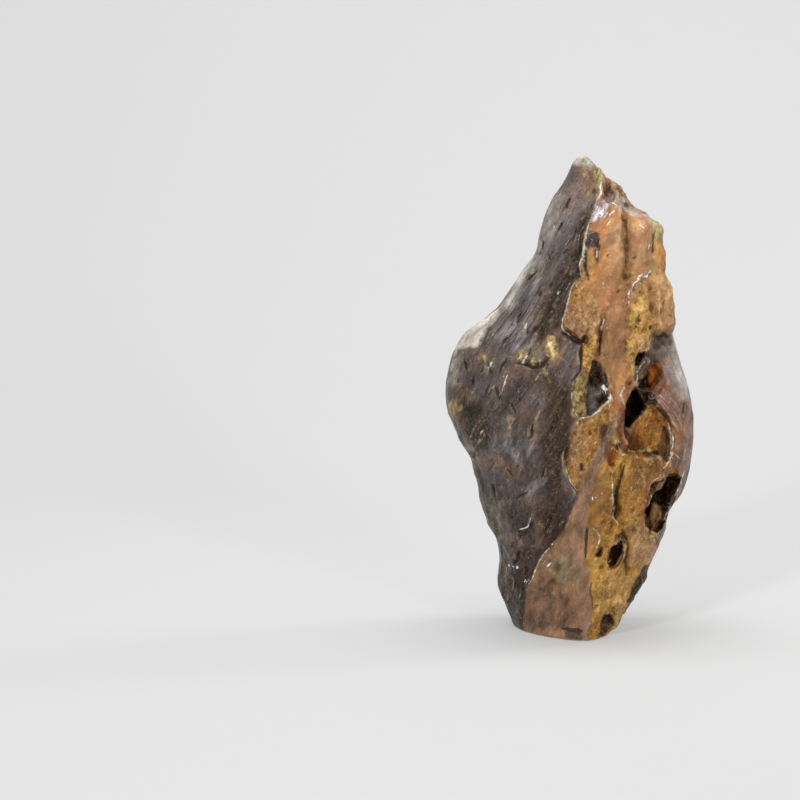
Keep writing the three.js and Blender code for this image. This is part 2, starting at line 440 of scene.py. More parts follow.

# %% [markdown]
# ## Hollows
# Water has eaten the softer layers on the right. The upper lobe overhangs a smooth
# grey wedge, a long black hole opens beside it, and an ochre bowl and a great hole
# lie below. Cutting each one out with a shape of its own would leave clean, machined
# edges. Here a hollow is an outline with a depth, a wall and a stain, and the grain
# that shakes its outline makes the wall ragged.

# %% Hollows on the front
# deep hollows: black and umber are the hole's dark colour and painted shade together
HOLLOWS = [
    # name, height in mm (sunk where negative), width of the wall in mm, stain, outline
    ("slate window's core", -1.6, 1.6, "black", [(8, 144), (9.5, 151), (12, 157), (16, 153),
      (17, 146), (13, 143)]),
    ("slate window's pit", -1.6, 1.6, "black", [(12, 136), (16, 139), (19, 137), (15, 132)]),
    # the slate under the lobe is partly painted shadow of the overhang
    ("under the lobe", -3.0, 3.0, "slate", [(46, 173), (51.5, 175), (55, 174.5), (60, 173),
      (60, 168), (53, 167), (49, 165.5), (45, 164.5)]),
    ("beside the lumps", -9.0, 1.6, "black", [(42, 163), (37, 162), (35, 159), (34.5, 154.5),
      (37, 155), (40, 158.5)]),
    ("orange cavity", -3.6, 4.0, "orange", [(44, 153), (47.5, 156.5), (51.5, 155.5), (52, 151),
      (49, 145.5), (45, 141.5), (43.5, 144)]),
    ("cavity's shade", -7.0, 2.0, "black", [(37.5, 146), (44, 152), (45, 143.5), (40, 141.5)]),
    ("roof of the bowl", -8.0, 2.5, "shade", [(40, 140), (44, 139), (48.5, 134.5), (47.5, 132),
      (41.5, 132), (40, 135)]),
    ("long hole", -15.0, 2.0, "black", [(38.5, 141.5), (34.5, 141.5), (32, 138), (31, 135),
      (30.5, 127), (30.5, 120), (32.5, 119), (34, 120.5), (36.5, 124), (40, 127), (41.5, 132),
      (40, 135), (39.5, 138)]),
    # the bowl's amber is lighter than the flesh: painted light in the sunk bowl
    ("bowl", -6.5, 3.5, "amber", [(41.5, 133), (47.5, 133), (48.5, 127), (51.5, 123),
      (51.5, 119.5), (49.5, 112), (48.5, 108), (44, 107), (40, 106), (34.5, 106), (30, 106.5),
      (33.5, 112), (34, 119.5), (36.5, 123), (41, 127)]),
    ("corner of the bowl", -7.0, 2.5, "rose", [(51.5, 120), (53.5, 121.5), (55.5, 117),
      (57, 110.5), (56, 104.5), (53.5, 100.5), (51.5, 102.5), (50, 106), (50.5, 113.5)]),
    ("purple lip", -5.0, 1.6, "shade", [(41, 105.5), (42.5, 102.5), (50, 103.5), (49.5, 106),
      (44.5, 105.5)]),
    ("red recess", -2.2, 2.5, "rose", [(27, 134), (30, 134), (30.5, 119), (34.5, 113.5),
      (33.5, 110), (29, 106), (26.5, 110), (23.5, 117.5), (26, 124)]),
    ("orange recess", -2.4, 2.5, "wine", [(17, 113), (21, 112), (24, 105), (23, 98), (19.5, 98),
      (17, 105)]),
    ("spark hole", -5.0, 1.6, "black", [(23.5, 110.5), (26, 110.5), (27, 107.5), (24, 107)]),
    ("great hole", -13.0, 2.5, "black", [(50, 89), (53.5, 90), (61, 90.5), (63.5, 89.5), (61, 85),
      (59, 81), (58.5, 75.5), (56.5, 71), (54.5, 63.5), (50, 58.5), (44, 59), (41.5, 71.5),
      (42.5, 79), (46, 85.5)]),
    ("oval hole", -6.0, 1.6, "umber", [(23, 53), (25, 51), (29, 50.5), (27.5, 44), (25, 40),
      (22.5, 39.5), (20.5, 41), (21, 46)]),
    ("roof of the oval hole", -2.5, 2.0, "umber", [(23.5, 57.5), (29.5, 59.5), (30.5, 55),
      (29.5, 51), (25, 51.5), (23, 53)]),
    ("small hole", -5.0, 1.4, "black", [(15.5, 50), (17, 49), (16, 45.5), (13, 45.5)]),
    ("pit in the ochre patch", -4.0, 1.4, "black", [(4, 99), (5.5, 99), (5.5, 95), (4, 95)]),
    ("foot hole", -8.0, 2.0, "shade", [(18.5, 10.5), (23.5, 10.5), (26, 4.5), (18.5, -3),
      (15.5, -2), (17.5, 4.5)]),
    ("foot slot", -6.0, 2.0, "black", [(33, 16), (36, 24), (39, 33), (42.5, 39.5), (46, 38),
      (46, 30), (38.5, 18)]),
    ("dull pocket at the tip", 0.8, 1.6, "plum", [(18, 262.5), (20, 263.5), (24, 261), (28, 258.5),
      (29, 255), (25, 253.5), (22.5, 249.5), (18.5, 250), (17.5, 257)]),
    ("slate window", -1.8, 1.6, "ink", [(10, 158), (13, 158), (15.5, 155), (18.5, 151.5),
      (20.5, 144.5), (19.5, 142.5), (20.5, 135.5), (17.5, 132.5), (9, 125.5), (6, 126.5),
      (7.5, 141), (7, 145), (9, 151)]),
]
SHELF = [
    (35, 147), (35, 153), (39.5, 157.5), (42.5, 162), (45, 164.5), (46, 173), (51.5, 175.5),
    (56, 174.5), (60, 178), (63, 184), (80, 188), (80, 130), (64, 134), (50, 145), (44, 143),
]
front.raise_patch(SHELF, -6.0, 2.0, slope=((44, 168), (66, 136)))
front.shape_patches(HOLLOWS)
print("front hollows:", len(HOLLOWS), "deepest", round(float(-front.relief.min()), 1), "mm")

# %% [markdown]
# ## Lit places inside the great hole
# A hole isn't black all over. Here a ledge catches the light, and the left wall is
# red. Both are taken out of the black stain, and the ledge is built up again.

# %% Ledge and red wall
GREAT_LEDGE = [
    (47.5, 75), (53, 73.5), (54.5, 66), (50.5, 58), (45, 58), (45.5, 66),
]
RED_WALL = [
    (42, 82), (46.5, 84.5), (48, 76), (48.5, 66), (46, 58), (40, 66),
]
# the ledge's amber is partly painted light
front.shape_patches([("ledge", 9.0, 3.4, "amber", GREAT_LEDGE)])
for lit in (GREAT_LEDGE, RED_WALL):
    front.stain["black"] = np.minimum(front.stain["black"], -front.inside(lit, whole))
print("black places on the front map:", int((front.stain["black"] > 0).sum()))

# %% [markdown]
# ## Plates, lumps and strips
# The harder layers stand proud. A pink plate runs down to the foot with a crisp
# right edge, a smooth brown plate fills the middle, and golden lumps hang over the
# hollow. They are drawn just like the hollows, with a height instead of a depth.

# %% Raised patches on the front
RAISED = [
    # name, height in mm, width of the edge in mm, stain, outline
    ("pink plate", 1.4, 1.6, "plate", [(23.5, 128.5), (18, 119.5), (12.5, 108.5), (9, 99),
      (7, 91.5), (2, 79.5), (-0.5, 69.5), (-10, 54.5), (-16.5, 46.5), (-20.5, 37.5), (-23, 31),
      (-26, 20.5), (-26.5, 10.5), (-27.5, 2.5), (-27, -12), (11, -12), (11, 11.5), (9, 35.5),
      (6, 48.5), (7, 55.5), (9, 72.5), (12.5, 91.5), (18, 103.5), (23, 118.5), (27, 126.5)]),
    ("middle plate", 0.6, 4.0, "brown", [(17.5, 192.5), (28, 191.5), (30.5, 175.5), (29.5, 169.5),
      (30, 162), (32, 152.5), (33.5, 150), (31, 145), (30.5, 135.5), (28, 118), (22.5, 112),
      (21, 129.5), (22, 142.5), (20, 147.5), (17.5, 153.5), (14, 158), (15.5, 167),
      (17.5, 176.5)]),
    ("golden lumps", 2.4, 4.0, "gold", [(35, 196), (42.5, 193.5), (45, 179), (45.5, 172),
      (43.5, 164), (39.5, 163.5), (36.5, 162), (34, 157), (33, 151), (30, 157), (29.5, 167),
      (31, 176.5), (31, 186.5)]),
    ("golden strip", 2.2, 2.5, "gold", [(6.5, 173), (9, 174), (12, 172), (13, 167), (11.5, 162),
      (12.5, 159), (9, 156.5), (9.5, 153.5), (7, 152), (4.5, 154.5), (4, 159.5), (4, 166)]),
    ("olive strip", 0.8, 2.0, "olive", [(-2, 126), (-2, 135.5), (-1.5, 145), (3, 152), (7, 151),
      (5.5, 145), (7.5, 141), (6, 126)]),
    ("ochre patch", -0.6, 1.6, "ochre", [(2.5, 125.5), (9, 125), (17.5, 132.5), (21, 135.5),
      (23, 126.5), (17.5, 119.5), (12.5, 108.5), (8, 98.5), (2.5, 84.5), (-1, 86.5), (-4.5, 94.5),
      (-6, 103), (-3, 116), (1, 120.5)]),
    ("olive vein", 0.6, 1.6, "lichen", [(12.5, 271), (17.5, 270.5), (19, 266.5), (17.5, 262),
      (17, 254.5), (15, 251), (13.5, 253.5), (14.5, 260.5), (12.5, 265.5)]),
    # the lilac facet's pale tone is partly painted highlight of a glossy facet
    ("lilac facet", 0.8, 1.6, "lilac", [(13, 249), (19.5, 251), (22, 247.5), (19, 243.5),
      (17.5, 240.5), (10, 237.5), (10.5, 242.5)]),
    ("dark chip", -0.8, 1.2, "ink", [(10, 232.5), (14, 231.5), (15, 227.5), (13, 224), (8, 222.5),
      (7, 225), (8.5, 229.5)]),
    ("orange lens", 0.9, 1.4, "ochre", [(7.5, 220), (11.5, 222), (12.5, 218), (13, 213), (12, 207),
      (10, 203), (8, 207), (7.5, 215.5)]),
]
front.shape_patches(RAISED)
print("front raised patches:", len(RAISED))

# %% [markdown]
# ## Washes on the skin and the flank
# The dark skin is not one colour. Pale patches on the shoulder and the tip are
# painted sheen, the bright room mirrored where the wet skin turns away, and a soft
# painted sheen runs along the outline and the right flank. Blue, rust and moss run
# into each other below, and some of the blue is painted sheen too. Painted shade
# gathers along the edge of the flesh, on the lower skin and on the lower right
# flank. Painting them with one noise would give the right colours in the wrong
# places, so each wash has an outline, and its edge is left soft.

# %% Washes on skin and flank
SKIN_WASHES = {
    # pale: painted sheen, the bright room mirrored on the wet skin of the shoulder and the tip
    "pale": [
        [(-43, 182.5), (-52, 171), (-53.5, 165.5), (-80, 165.5), (-80, 182), (-50, 194),
          (-36, 207)],
        [(1, 272), (2, 284), (20, 284), (16, 273), (12, 271), (7, 271)],
    ],
    # soft painted sheen where the skin turns away, along the left outline and on the right flank
    "mist": [
        [(-14, 256), (-7, 254), (-9, 240), (-20, 212), (-36, 190), (-50, 198), (-32, 222),
          (-20, 246)],
        [(-80, 166), (-68, 166), (-69, 146), (-80, 142)],
        [(61, 177), (64, 184), (80, 186), (80, 134), (66, 136), (60, 144), (56, 153), (57, 164)],
    ],
    "ash": [
        [(20, 253), (26.5, 256), (31, 252.5), (41, 243.5), (44, 241.5), (37.5, 241.5), (32, 243.5),
          (27, 244.5), (25.5, 248), (20, 249)],
    ],
    "mauve": [
        [(60, 172), (80, 172), (80, 85), (66, 88), (58, 98), (58.5, 106), (55, 122), (49, 134),
          (44, 141), (52, 150), (53, 160)],
    ],
    # slate on the right rim and under the lobe: grey colour and painted shade where they turn from
    # the light
    "slate": [
        [(68, 102), (76, 106), (76, 60), (60, 50), (50, 40), (52, 54), (55, 62), (57, 73),
          (59.5, 80), (62.5, 89)],
        [(60, 172), (56.5, 163.5), (51.5, 157), (44.5, 154), (37.5, 146), (35, 146), (34.5, 150),
          (35, 153), (39.5, 157.5), (42.5, 162), (45, 164.5), (46, 173), (51.5, 175)],
    ],
    "lichen": [
        [(44, 244), (50, 243), (55, 234), (55, 226), (48, 228), (45, 236)],
    ],
    # blue: blue-grey tone, and painted sheen where the wet skin mirrors the room
    "blue": [
        [(-38, 188), (-25, 182), (-22, 166), (-34, 161), (-42, 172)],
        [(-48, 112), (-38, 114), (-24, 110), (-24, 100), (-38, 104), (-48, 104)],
        [(-27, 90), (-15, 90), (-14, 82), (-24, 78)], [(-8, 240), (1, 240), (4, 222), (-6, 210)],
        [(-30, 204), (-18, 210), (-16, 196), (-26, 188)],
        [(-40, 64), (-30, 62), (-33, 42), (-37, 46)],
    ],
    "rust": [
        [(-19, 174), (-8, 175), (-5, 162), (-10, 152), (-19, 156)],
        [(-24, 30), (-12, 34), (-8, 10), (-24, 6)], [(-10, 22), (0, 24), (4, 8), (-8, 4)],
        [(4, 270), (14, 268), (14, 252), (7, 256)],
        [(-17, 198), (-12, 198), (-13, 186), (-18, 187)],
        [(-14, 146), (-4, 144), (-5, 114), (-12, 108), (-16, 128)],
        [(-14, 172), (-6, 172), (-8, 150), (-16, 152)],
        [(-54, 104), (-40, 102), (-20, 92), (-19, 88), (-36, 93), (-52, 96)],
        [(-68, 140), (-60, 142), (-56, 124), (-62, 112), (-70, 128)],
    ],
    "moss": [
        [(-14, 42), (0, 46), (3, 32), (-8, 27)], [(-72, 166), (-65, 165), (-66, 146), (-72, 146)],
        [(-46, 77), (-36, 76), (-36, 66), (-44, 66)],
        [(-72, 137), (-62, 137), (-60, 127), (-71, 124)],
        [(-63, 112), (-56, 112), (-54, 96), (-60, 98)],
        [(-50, 80), (-46, 80), (-38, 50), (-42, 50)],
        [(-27, 170), (-20, 168), (-22, 158), (-28, 158)],
    ],
    "tan": [
        [(4, 270), (14, 268), (14, 252), (7, 256)],
        [(-22, 116.5), (-17, 113.5), (-19.5, 106), (-22, 107)],
        [(-37.5, 127), (-35, 126), (-36, 114.5)], [(-24, 125), (-20, 125), (-22, 114), (-26, 118)],
        [(-20, 141), (-16, 146), (-12, 140), (-18, 132)],
    ],
    # painted shade along the edge of the flesh, on the lower skin and on the lower right flank
    "dusk": [
        [(-22, 112), (-2, 128), (-2, 100), (-8, 84), (-4, 60), (-18, 48), (-20, 70), (-14, 92)],
        [(11, 250), (4, 244), (-4, 222), (-10, 205), (-17, 190), (-23, 176), (-20, 168), (-8, 176),
          (-3, 196), (5, 208), (9, 236)],
        [(-39, 70), (-26, 72), (-22, 58), (-36, 56)],
        [(-17, 148), (-3, 146), (-1, 110), (-14, 106)],
        [(-42, 52), (-26, 50), (-24, 20), (-30, -6), (-44, 6)],
        [(-66, 132), (-52, 134), (-46, 110), (-56, 104)],
        [(54, 64), (66, 60), (56, 30), (40, 8), (33, 12), (38, 23), (45, 35), (51, 48)],
    ],
    "shade": [
        [(-4.5, 0), (5, 3), (7, -4), (-2.5, -3)],
    ],
}
front.wash(SKIN_WASHES)
print("skin washes:", sum(len(outlines) for outlines in SKIN_WASHES.values()))

# %% [markdown]
# ## Hues of the flesh
# The flesh lies in thin layers, and wear has cut across them, so its hue changes
# every few millimetres: sunny yellow, fox red, fawn, apricot, loam and wine. Worn
# marks where the water has polished it. It has no colour of its own, and only calms
# the grain.

# %% Hues of the flesh
FLESH_HUES = {
    "toffee": [
        [(8, 92), (22, 97), (24, 80), (22, 60), (8, 60)],
        [(28, 100), (48, 104), (44, 92), (30, 90)], [(12, 12), (24, 8), (18, -6), (12, -4)],
        [(4, 186), (12, 190), (14, 178), (5, 174)],
    ],
    # honey: a yellow hue, and painted light where it brightens the flesh under the lumps, low on
    # the right and on the ledge
    "honey": [
        [(34, 174), (45, 176), (46, 164), (40, 162), (34, 164)],
        [(32, 52), (48, 50), (42, 34), (33, 34)],
        [(12, 34), (30, 34), (36, 24), (28, 6), (12, 12)],
        [(33, 192), (42, 192), (43, 178), (33, 176)],
        [(47, 69), (53, 69), (54, 65), (50, 59), (45, 59)],
    ],
    "sun": [
        [(36, 200), (42, 198), (45, 184), (44, 168), (35, 164), (34, 182)],
        [(14, 96), (20, 94), (20, 86), (15, 85)],
        [(12, 32), (20, 31), (24, 26), (20, 22), (12, 24)],
        [(31, 71), (36, 70), (36, 62), (32, 62)], [(7, 172), (11, 171), (11, 160), (7, 160)],
        [(46, 214), (50, 214), (51, 200), (46, 200)],
        [(20, 102), (29, 103), (31, 96), (24, 92), (20, 96)],
        [(12, 20), (28, 18), (26, 12), (13, 10)],
    ],
    "fox": [
        [(33, 124), (40, 130), (47, 128), (46, 120), (38, 117), (34, 112)],
        [(33, 118), (37, 124), (42, 127), (40, 121), (35, 113)],
        [(16, 38), (29, 38), (27, 31), (15, 32)], [(47, 226), (55, 225), (57, 214), (48, 216)],
        [(56, 124), (61, 122), (63, 108), (59, 104), (57, 112)],
        [(20, 104), (24, 106), (25, 98), (20, 98)], [(21, 152), (31, 152), (31, 143), (23, 142)],
        [(30, 96), (38, 98), (40, 88), (32, 86)], [(8, 160), (12, 158), (11, 152), (8, 153)],
        [(4, 118), (14, 122), (12, 106), (3, 108)], [(34, 82), (44, 82), (44, 70), (36, 68)],
        [(-2, 100), (5, 104), (6, 92), (0, 90)],
    ],
    "fawn": [
        [(-4, 186), (4, 190), (14, 186), (14, 176), (2, 172), (-5, 178)],
        [(32, 62), (46, 66), (50, 52), (42, 40), (34, 40)],
        [(-4, 120), (3, 124), (8, 110), (2, 96), (-5, 104)],
        [(4, 270), (13, 270), (13, 258), (7, 258)], [(20, 236), (28, 238), (28, 210), (20, 212)],
        [(45, 77), (55, 76), (55, 63), (46, 58)], [(5, 272), (14, 271), (14, 256), (6, 257)],
    ],
    "apricot": [
        [(46, 210), (58, 212), (64, 196), (60, 178), (48, 174), (47, 190)],
        [(34.5, 241), (42, 239), (41.5, 213), (34.5, 211)],
        [(34, 172), (43, 170), (40, 162), (36, 162)],
    ],
    # loam: a dark brown hue; in the flute's groove and the bowl's corner it is painted shade
    "loam": [
        [(33, 100), (47, 102), (49, 95), (40, 90), (33, 94)],
        [(13, 76), (21, 76), (21, 68), (13, 68)],
        [(31, 243), (34, 243), (34.5, 224), (33.5, 207), (31, 207), (30, 224)],
        [(51, 120), (55, 118), (57, 108), (54, 101), (50, 106)],
        [(12, 24), (22, 24), (22, 20), (12, 20)], [(28, 60), (33, 60), (32, 44), (29, 46)],
        [(7, 66), (14, 66), (15, 48), (8, 48)], [(12, 91), (20.5, 92), (20, 77), (12, 77)],
        [(32, 95), (42, 94), (39, 84), (32, 84)],
    ],
    "wine": [
        [(24, 134), (31, 134), (30, 122), (33, 112), (29, 106), (25, 110), (25, 122)],
        [(40, 85), (47.5, 88), (48, 76), (45, 62), (40, 62)],
        [(36, 116), (44, 114), (42, 108), (34, 108)],
        [(46, 88), (53, 91), (56, 89), (52, 84), (48, 82)],
    ],
    "plum": [
        [(13, 122), (22, 122), (20, 108), (13, 104)], [(-24, 8), (-4, 12), (0, 2), (-24, 0)],
        [(-42, 66), (-27, 60), (-29, 8), (-38, 6)],
    ],
    "rosy": [
        [(2, 98), (11, 98), (7, 76), (1, 76)],
    ],
    "orange": [
        [(20.5, 104), (23.5, 105), (24, 100), (20.5, 99)],
        [(19.5, 265), (22.5, 266), (27.5, 260.5), (29, 257), (26.5, 259.5), (23.5, 262)],
    ],
    "worn": [
        [(12, 250), (30, 250), (30, 204), (28, 190), (14, 186), (4, 200), (8, 225)],
        [(31, 246), (44, 246), (52, 236), (52, 214), (40, 206), (30, 210)],
        [(-28, 50), (-14, 50), (24, 128), (10, -12), (-28, -12)],
    ],
}
front.wash(FLESH_HUES)
print("flesh hues:", sum(len(outlines) for outlines in FLESH_HUES.values()))

# %% [markdown]
# ## Straw spots and small pits
# Where the skin has chipped, a pale straw spot stands out of it. The golden lumps
# have a few deep pits. Both are small enough to be shaped and stained in one go.

# %% Straw spots and pits
STRAW_SPOTS = [
    [(24.5, 246.5), (27, 247), (22.5, 242)], [(22, 239.5), (23, 238.5), (19.5, 236)],
    [(-17.5, 167), (-15.5, 171.5), (-11.5, 172), (-9.5, 167), (-10, 161), (-12, 157.5),
      (-15.5, 159)],
    [(-33, 164), (-30.5, 164), (-31, 158), (-33.5, 156.5)],
    [(-29.5, 160), (-28, 161.5), (-27.5, 157.5)],
    [(-72, 133), (-69, 134.5), (-67, 131), (-63.5, 132.5), (-65, 128), (-69, 126.5), (-71.5, 129)],
    [(-51.5, 162), (-50.3, 161), (-50.5, 157.5), (-51.8, 158.5)],
    [(-26, 157.5), (-23.5, 159.5), (-22, 157), (-24, 155)],
    [(-20.5, 158), (-19, 158.5), (-19.5, 155.5)],
    [(-18.5, 153), (-16.5, 154), (-14, 146), (-15.5, 145)],
]
LUMP_PITS = [(37.5, 181.5), (35.5, 177.5), (43.5, 176.5)]


def pit_outline(u, v):
    return [(u - 1.2, v), (u + 0.4, v + 1.6), (u + 1.3, v - 0.4), (u - 0.2, v - 1.5)]


front.shape_patches([("straw spot", 0.8, 1.5, "straw", outline) for outline in STRAW_SPOTS])
front.shape_patches([("pit", -2.0, 1.2, "umber", pit_outline(u, v)) for u, v in LUMP_PITS])
print("straw spots:", len(STRAW_SPOTS), "pits:", len(LUMP_PITS))

# %% [markdown]
# ## Facets, ribs and grooves
# The stone broke in broad flat facets before the water rounded it, and it has ribs
# and grooves along its length. A facet is an outline whose height falls off along a
# slope. A rib is a line with a height and a width, and a groove is a rib below zero.

# %% Facets on the front
FACETS = [
    # outline, height in mm, width of its edge, and the slope from full to no height
    ([(29.5, 250), (28, 228), (28.5, 204), (42, 202), (44, 246)], -2.6, 1.4, ((29, 225),
      (43, 224))),
    ([(29, 99), (50, 95), (44, 82), (42, 66), (34, 60), (27, 66), (26, 82)], 2.2, 2.0, ((26, 80),
      (46, 86))),
    ([(10, 90), (20, 99), (25, 90), (23, 70), (22, 58), (8, 64)], 1.8, 1.6, ((22, 74), (8, 80))),
    ([(34, 59), (52, 54), (42, 34), (34, 36)], 1.8, 1.6, ((34, 46), (50, 42))),
    ([(9, 38), (28, 38), (32, 24), (12, 20)], 1.6, 2.0, ((12, 32), (32, 26))),
    ([(14, 18), (30, 20), (26, 8), (14, 10)], 1.2, 1.6, ((20, 20), (22, 6))),
    ([(-24, 24), (-4, 20), (8, 18), (10, 0), (-26, -2)], -1.6, 2.4, ((-24, 4), (10, 12))),
    ([(-18, 44), (-8, 46), (-4, 34), (-12, 24), (-20, 24)], -1.8, 2.4, ((-18, 30), (-4, 38))),
    ([(20, 240), (30, 244), (29, 222), (26, 204), (16, 206), (17, 226)], 1.8, 3.0, ((26, 222),
      (14, 220))),
    ([(34, 244), (43, 238), (42, 214), (34, 206), (32, 222)], 1.6, 3.0, ((36, 226), (46, 222))),
    ([(47, 226), (55, 222), (62, 196), (56, 178), (47, 190)], 1.6, 3.0, ((50, 204), (62, 196))),
    ([(-2, 186), (8, 188), (11, 176), (5, 170), (-6, 178)], 1.4, 2.4, ((-4, 178), (10, 186))),
    ([(-2, 112), (10, 124), (14, 114), (4, 92), (-5, 98)], 1.4, 2.0, ((-4, 108), (10, 104))),
    ([(-70, 150), (-40, 160), (-14, 158), (-4, 140), (-20, 128), (-60, 128)], 1.6, 4.0,
      ((-40, 158), (-40, 128))),
    ([(-60, 104), (-30, 100), (-12, 84), (-30, 50), (-50, 60)], -2.0, 5.0, ((-54, 70), (-12, 84))),
    ([(-44, 60), (-30, 62), (-24, 30), (-30, 4), (-46, 6)], -1.8, 3.0, ((-44, 30), (-24, 34))),
]
for facet in FACETS:
    front.raise_patch(*facet)
print("front facets:", len(FACETS))

# %% Ribs and grooves on the front
RIBS = [
    # points, height in mm (a groove where negative), width in mm
    ([(-15, 27), (-12, 30), (-8, 27), (-9, 22), (-5, 18)], -1.4, 2.2),
    ([(-13, 25), (-10, 20), (-12, 12), (-8, 6)], 1.0, 3.0),
    ([(42, 234), (43, 222), (40, 208)], -1.6, 4.0), ([(24, 236), (23, 220), (20, 204)], 1.4, 7.0),
    ([(52, 214), (54, 200), (52, 186)], -1.2, 4.0), ([(24, 200), (22, 186), (24, 170)], -1.2, 6.0),
    ([(45.5, 240), (44, 225.5), (43, 213)], 1.6, 4.0),
    ([(48, 236), (46, 227.5), (46, 219)], -2.0, 2.5),
    ([(46, 211), (39, 206), (34, 202), (31, 193)], 1.4, 2.5),
    ([(15, 227), (13, 222), (12.5, 218), (14.5, 213)], -2.4, 1.6),
    ([(7, 222), (6, 213), (8, 204)], -1.6, 1.6),
    ([(-6.5, 175.5), (-2, 172), (3.5, 169), (5, 172)], -3.8, 2.6),
    ([(12.5, 185), (9, 178.5), (7, 174.5), (4.5, 169)], -1.8, 2.2),
    ([(14.5, 180), (15.5, 172), (14.5, 159)], -2.8, 2.8),
    ([(36, 151), (36.5, 144.5), (38.5, 141.5), (44, 140), (48.5, 135), (55, 127), (64.5, 115.5),
      (70, 110)], 1.6, 2.4),
    ([(48, 131), (52, 127.5), (55.5, 123), (58, 119)], -2.8, 2.0),
    ([(55, 122), (55.5, 117.5), (57.5, 112.5), (58, 106), (56.5, 102.5), (51.5, 96)], 1.8, 1.8),
    ([(58, 106), (60.5, 103), (63.5, 100.5)], 1.2, 1.6),
    ([(35, 142.5), (32, 139), (30, 134)], 1.6, 1.6), ([(65, 134), (65, 125)], -2.0, 1.6),
    ([(29.5, 101), (27, 89), (25, 80), (24, 66)], -3.0, 2.4),
    ([(22, 98), (22, 84.5), (23, 77.5), (23, 68.5), (27, 60)], 1.2, 1.8),
    ([(29.5, 60), (31.5, 48.5), (30.5, 41.5), (33, 33), (30, 24)], -1.4, 1.8),
    ([(32, 60), (33.5, 48.5), (33, 41.5), (35, 33)], 1.0, 2.0),
    ([(64.5, 91), (60.5, 82), (58.5, 73), (56, 64), (54, 56)], 2.6, 2.2),
    ([(47.5, 57), (52, 49)], -2.2, 1.8),
    ([(-34, 157.5), (-25.5, 155.5), (-19.5, 155.5), (-13, 162)], -2.6, 2.4),
    ([(-22, 70), (-25, 62), (-31, 59), (-34, 52)], 1.4, 2.0),
    ([(-22, 66), (-26, 58), (-32, 56)], -1.6, 2.0), ([(17, 22), (24, 20), (31, 24)], -1.0, 1.8),
    ([(-17, 41), (-11, 43), (-9, 34.5), (-14, 24), (-19.5, 24)], -1.2, 3.0),
]
for rib in RIBS:
    front.raise_line(*rib)
print("front ribs and grooves:", len(RIBS))

# %% [markdown]
# ## Gashes and flecks of the skin
# Pine bark splits in short gashes, with a raised lip on one side and a dark crack in
# the middle. Pale flecks sit where a scale has chipped, and fine lines run down the
# shoulder and over the flank. The ones that show most are drawn one by one.

# %% Gashes, flecks and strokes
# lilac lines over the flank: painted highlights
FLANK_LINES = [
    [(45 + 3 * k, 139.5 + k), (54 + 3 * k, 129 + 2 * k), (62 + 3 * k, 116 + 3 * k)]
    for k in range(3)
]
STREAKS = [
    [(4 * k - 56, 160 + k), (4.3 * k - 46, 178), (5 * k - 33, 196 + 2 * k)]
    for k in (0, 1, 3, 4, 6)
]
GASHES = [
    [(-56.5, 150), (-58.7, 144)], [(-48.7, 157.7), (-47, 151)], [(-38.8, 159), (-42.3, 150.5)],
    [(-45, 143.5), (-41.7, 135)], [(-26.5, 178), (-27.5, 173)], [(-14, 220), (-12.3, 216.5)],
    [(-20.5, 210.5), (-25, 204)], [(-17, 228), (-18, 223.5)], [(-9, 232), (-6, 238)],
    [(-30, 186), (-33, 180)], [(-62, 158), (-60, 152)], [(-35, 134), (-33, 128)],
    [(-24, 122), (-25, 114)], [(-4, 246), (-2, 252)], [(-38, 96), (-34, 92)],
    [(-46, 86), (-44, 78)], [(-16, 96), (-18, 90)], [(-32, 78), (-26, 82)], [(-12, 68), (-16, 60)],
    [(-30, 48), (-32, 40)], [(2, 234), (0, 227)],
]
FLECKS = [
    # kind, where a fleck sits, its length and its width in mm
    ("cream", -47.5, 156, 4, 1.2), ("cream", -27.5, 178, 3.5, 0.9), ("cream", -29, 158, 4, 1.2),
    ("cream", -20, 157.5, 3, 1.2), ("cream", -8, 196, 2.5, 0.7), ("cream", -11, 236, 2.5, 0.6),
    ("cream", 4, 258, 2.5, 0.7), ("cream", -52.5, 116, 3, 0.8), ("cream", -46, 143, 3, 0.7),
    ("straw", -57, 117, 8, 1.5), ("straw", -55, 110, 8, 1.5), ("straw", -52, 113, 6, 1.0),
    ("straw", -62, 105, 4, 0.9), ("straw", -47.5, 141.5, 3.2, 0.9), ("straw", -21, 149, 6, 1.4),
    ("straw", -53.5, 160, 4, 1.2), ("straw", -35.5, 122, 9, 1.2), ("straw", -21.5, 125, 9, 1.6),
    ("straw", -58, 140, 5, 1.0),
]
FOOT_STROKES = [
    # where a stroke sits, its length and its width in mm
    (-37, 34, 7, 0.8), (-33, 27, 8, 0.7), (-29, 22, 7, 0.8), (-36, 18, 7, 0.7), (-31, 11, 6, 0.8),
]
GASH_DEPTH, GASH_WIDTH = 1.4, 2.0      # mm

for number, line in enumerate(FLANK_LINES):
    front.draw_line("lilac", line, 0.6 - 0.12 * number, shake=0.2)
for line in STREAKS:
    front.raise_line(line, -0.5, 1.8)
    front.draw_line("crack", line, 0.35)
for line in GASHES:
    front.raise_line(line, -GASH_DEPTH, GASH_WIDTH)
    front.raise_line([(u - 1.5, v) for u, v in line], 0.7, 1.5)
    front.draw_line("crack", line, 1.1, lip=0.4)
for kind, u, v, length, width in FLECKS:
    across, up = 0.2 * length, 0.45 * length
    front.draw_line(kind, [(u - across, v - up), (u, v), (u + across, v + up)], width)
for u, v, length, width in FOOT_STROKES:
    stroke = [(u - 1, v - 0.5 * length), (u, v), (u, v + 0.5 * length)]
    front.draw_line("straw", stroke, width, shake=0.5)
print("gashes:", len(GASHES), "flecks:", len(FLECKS))
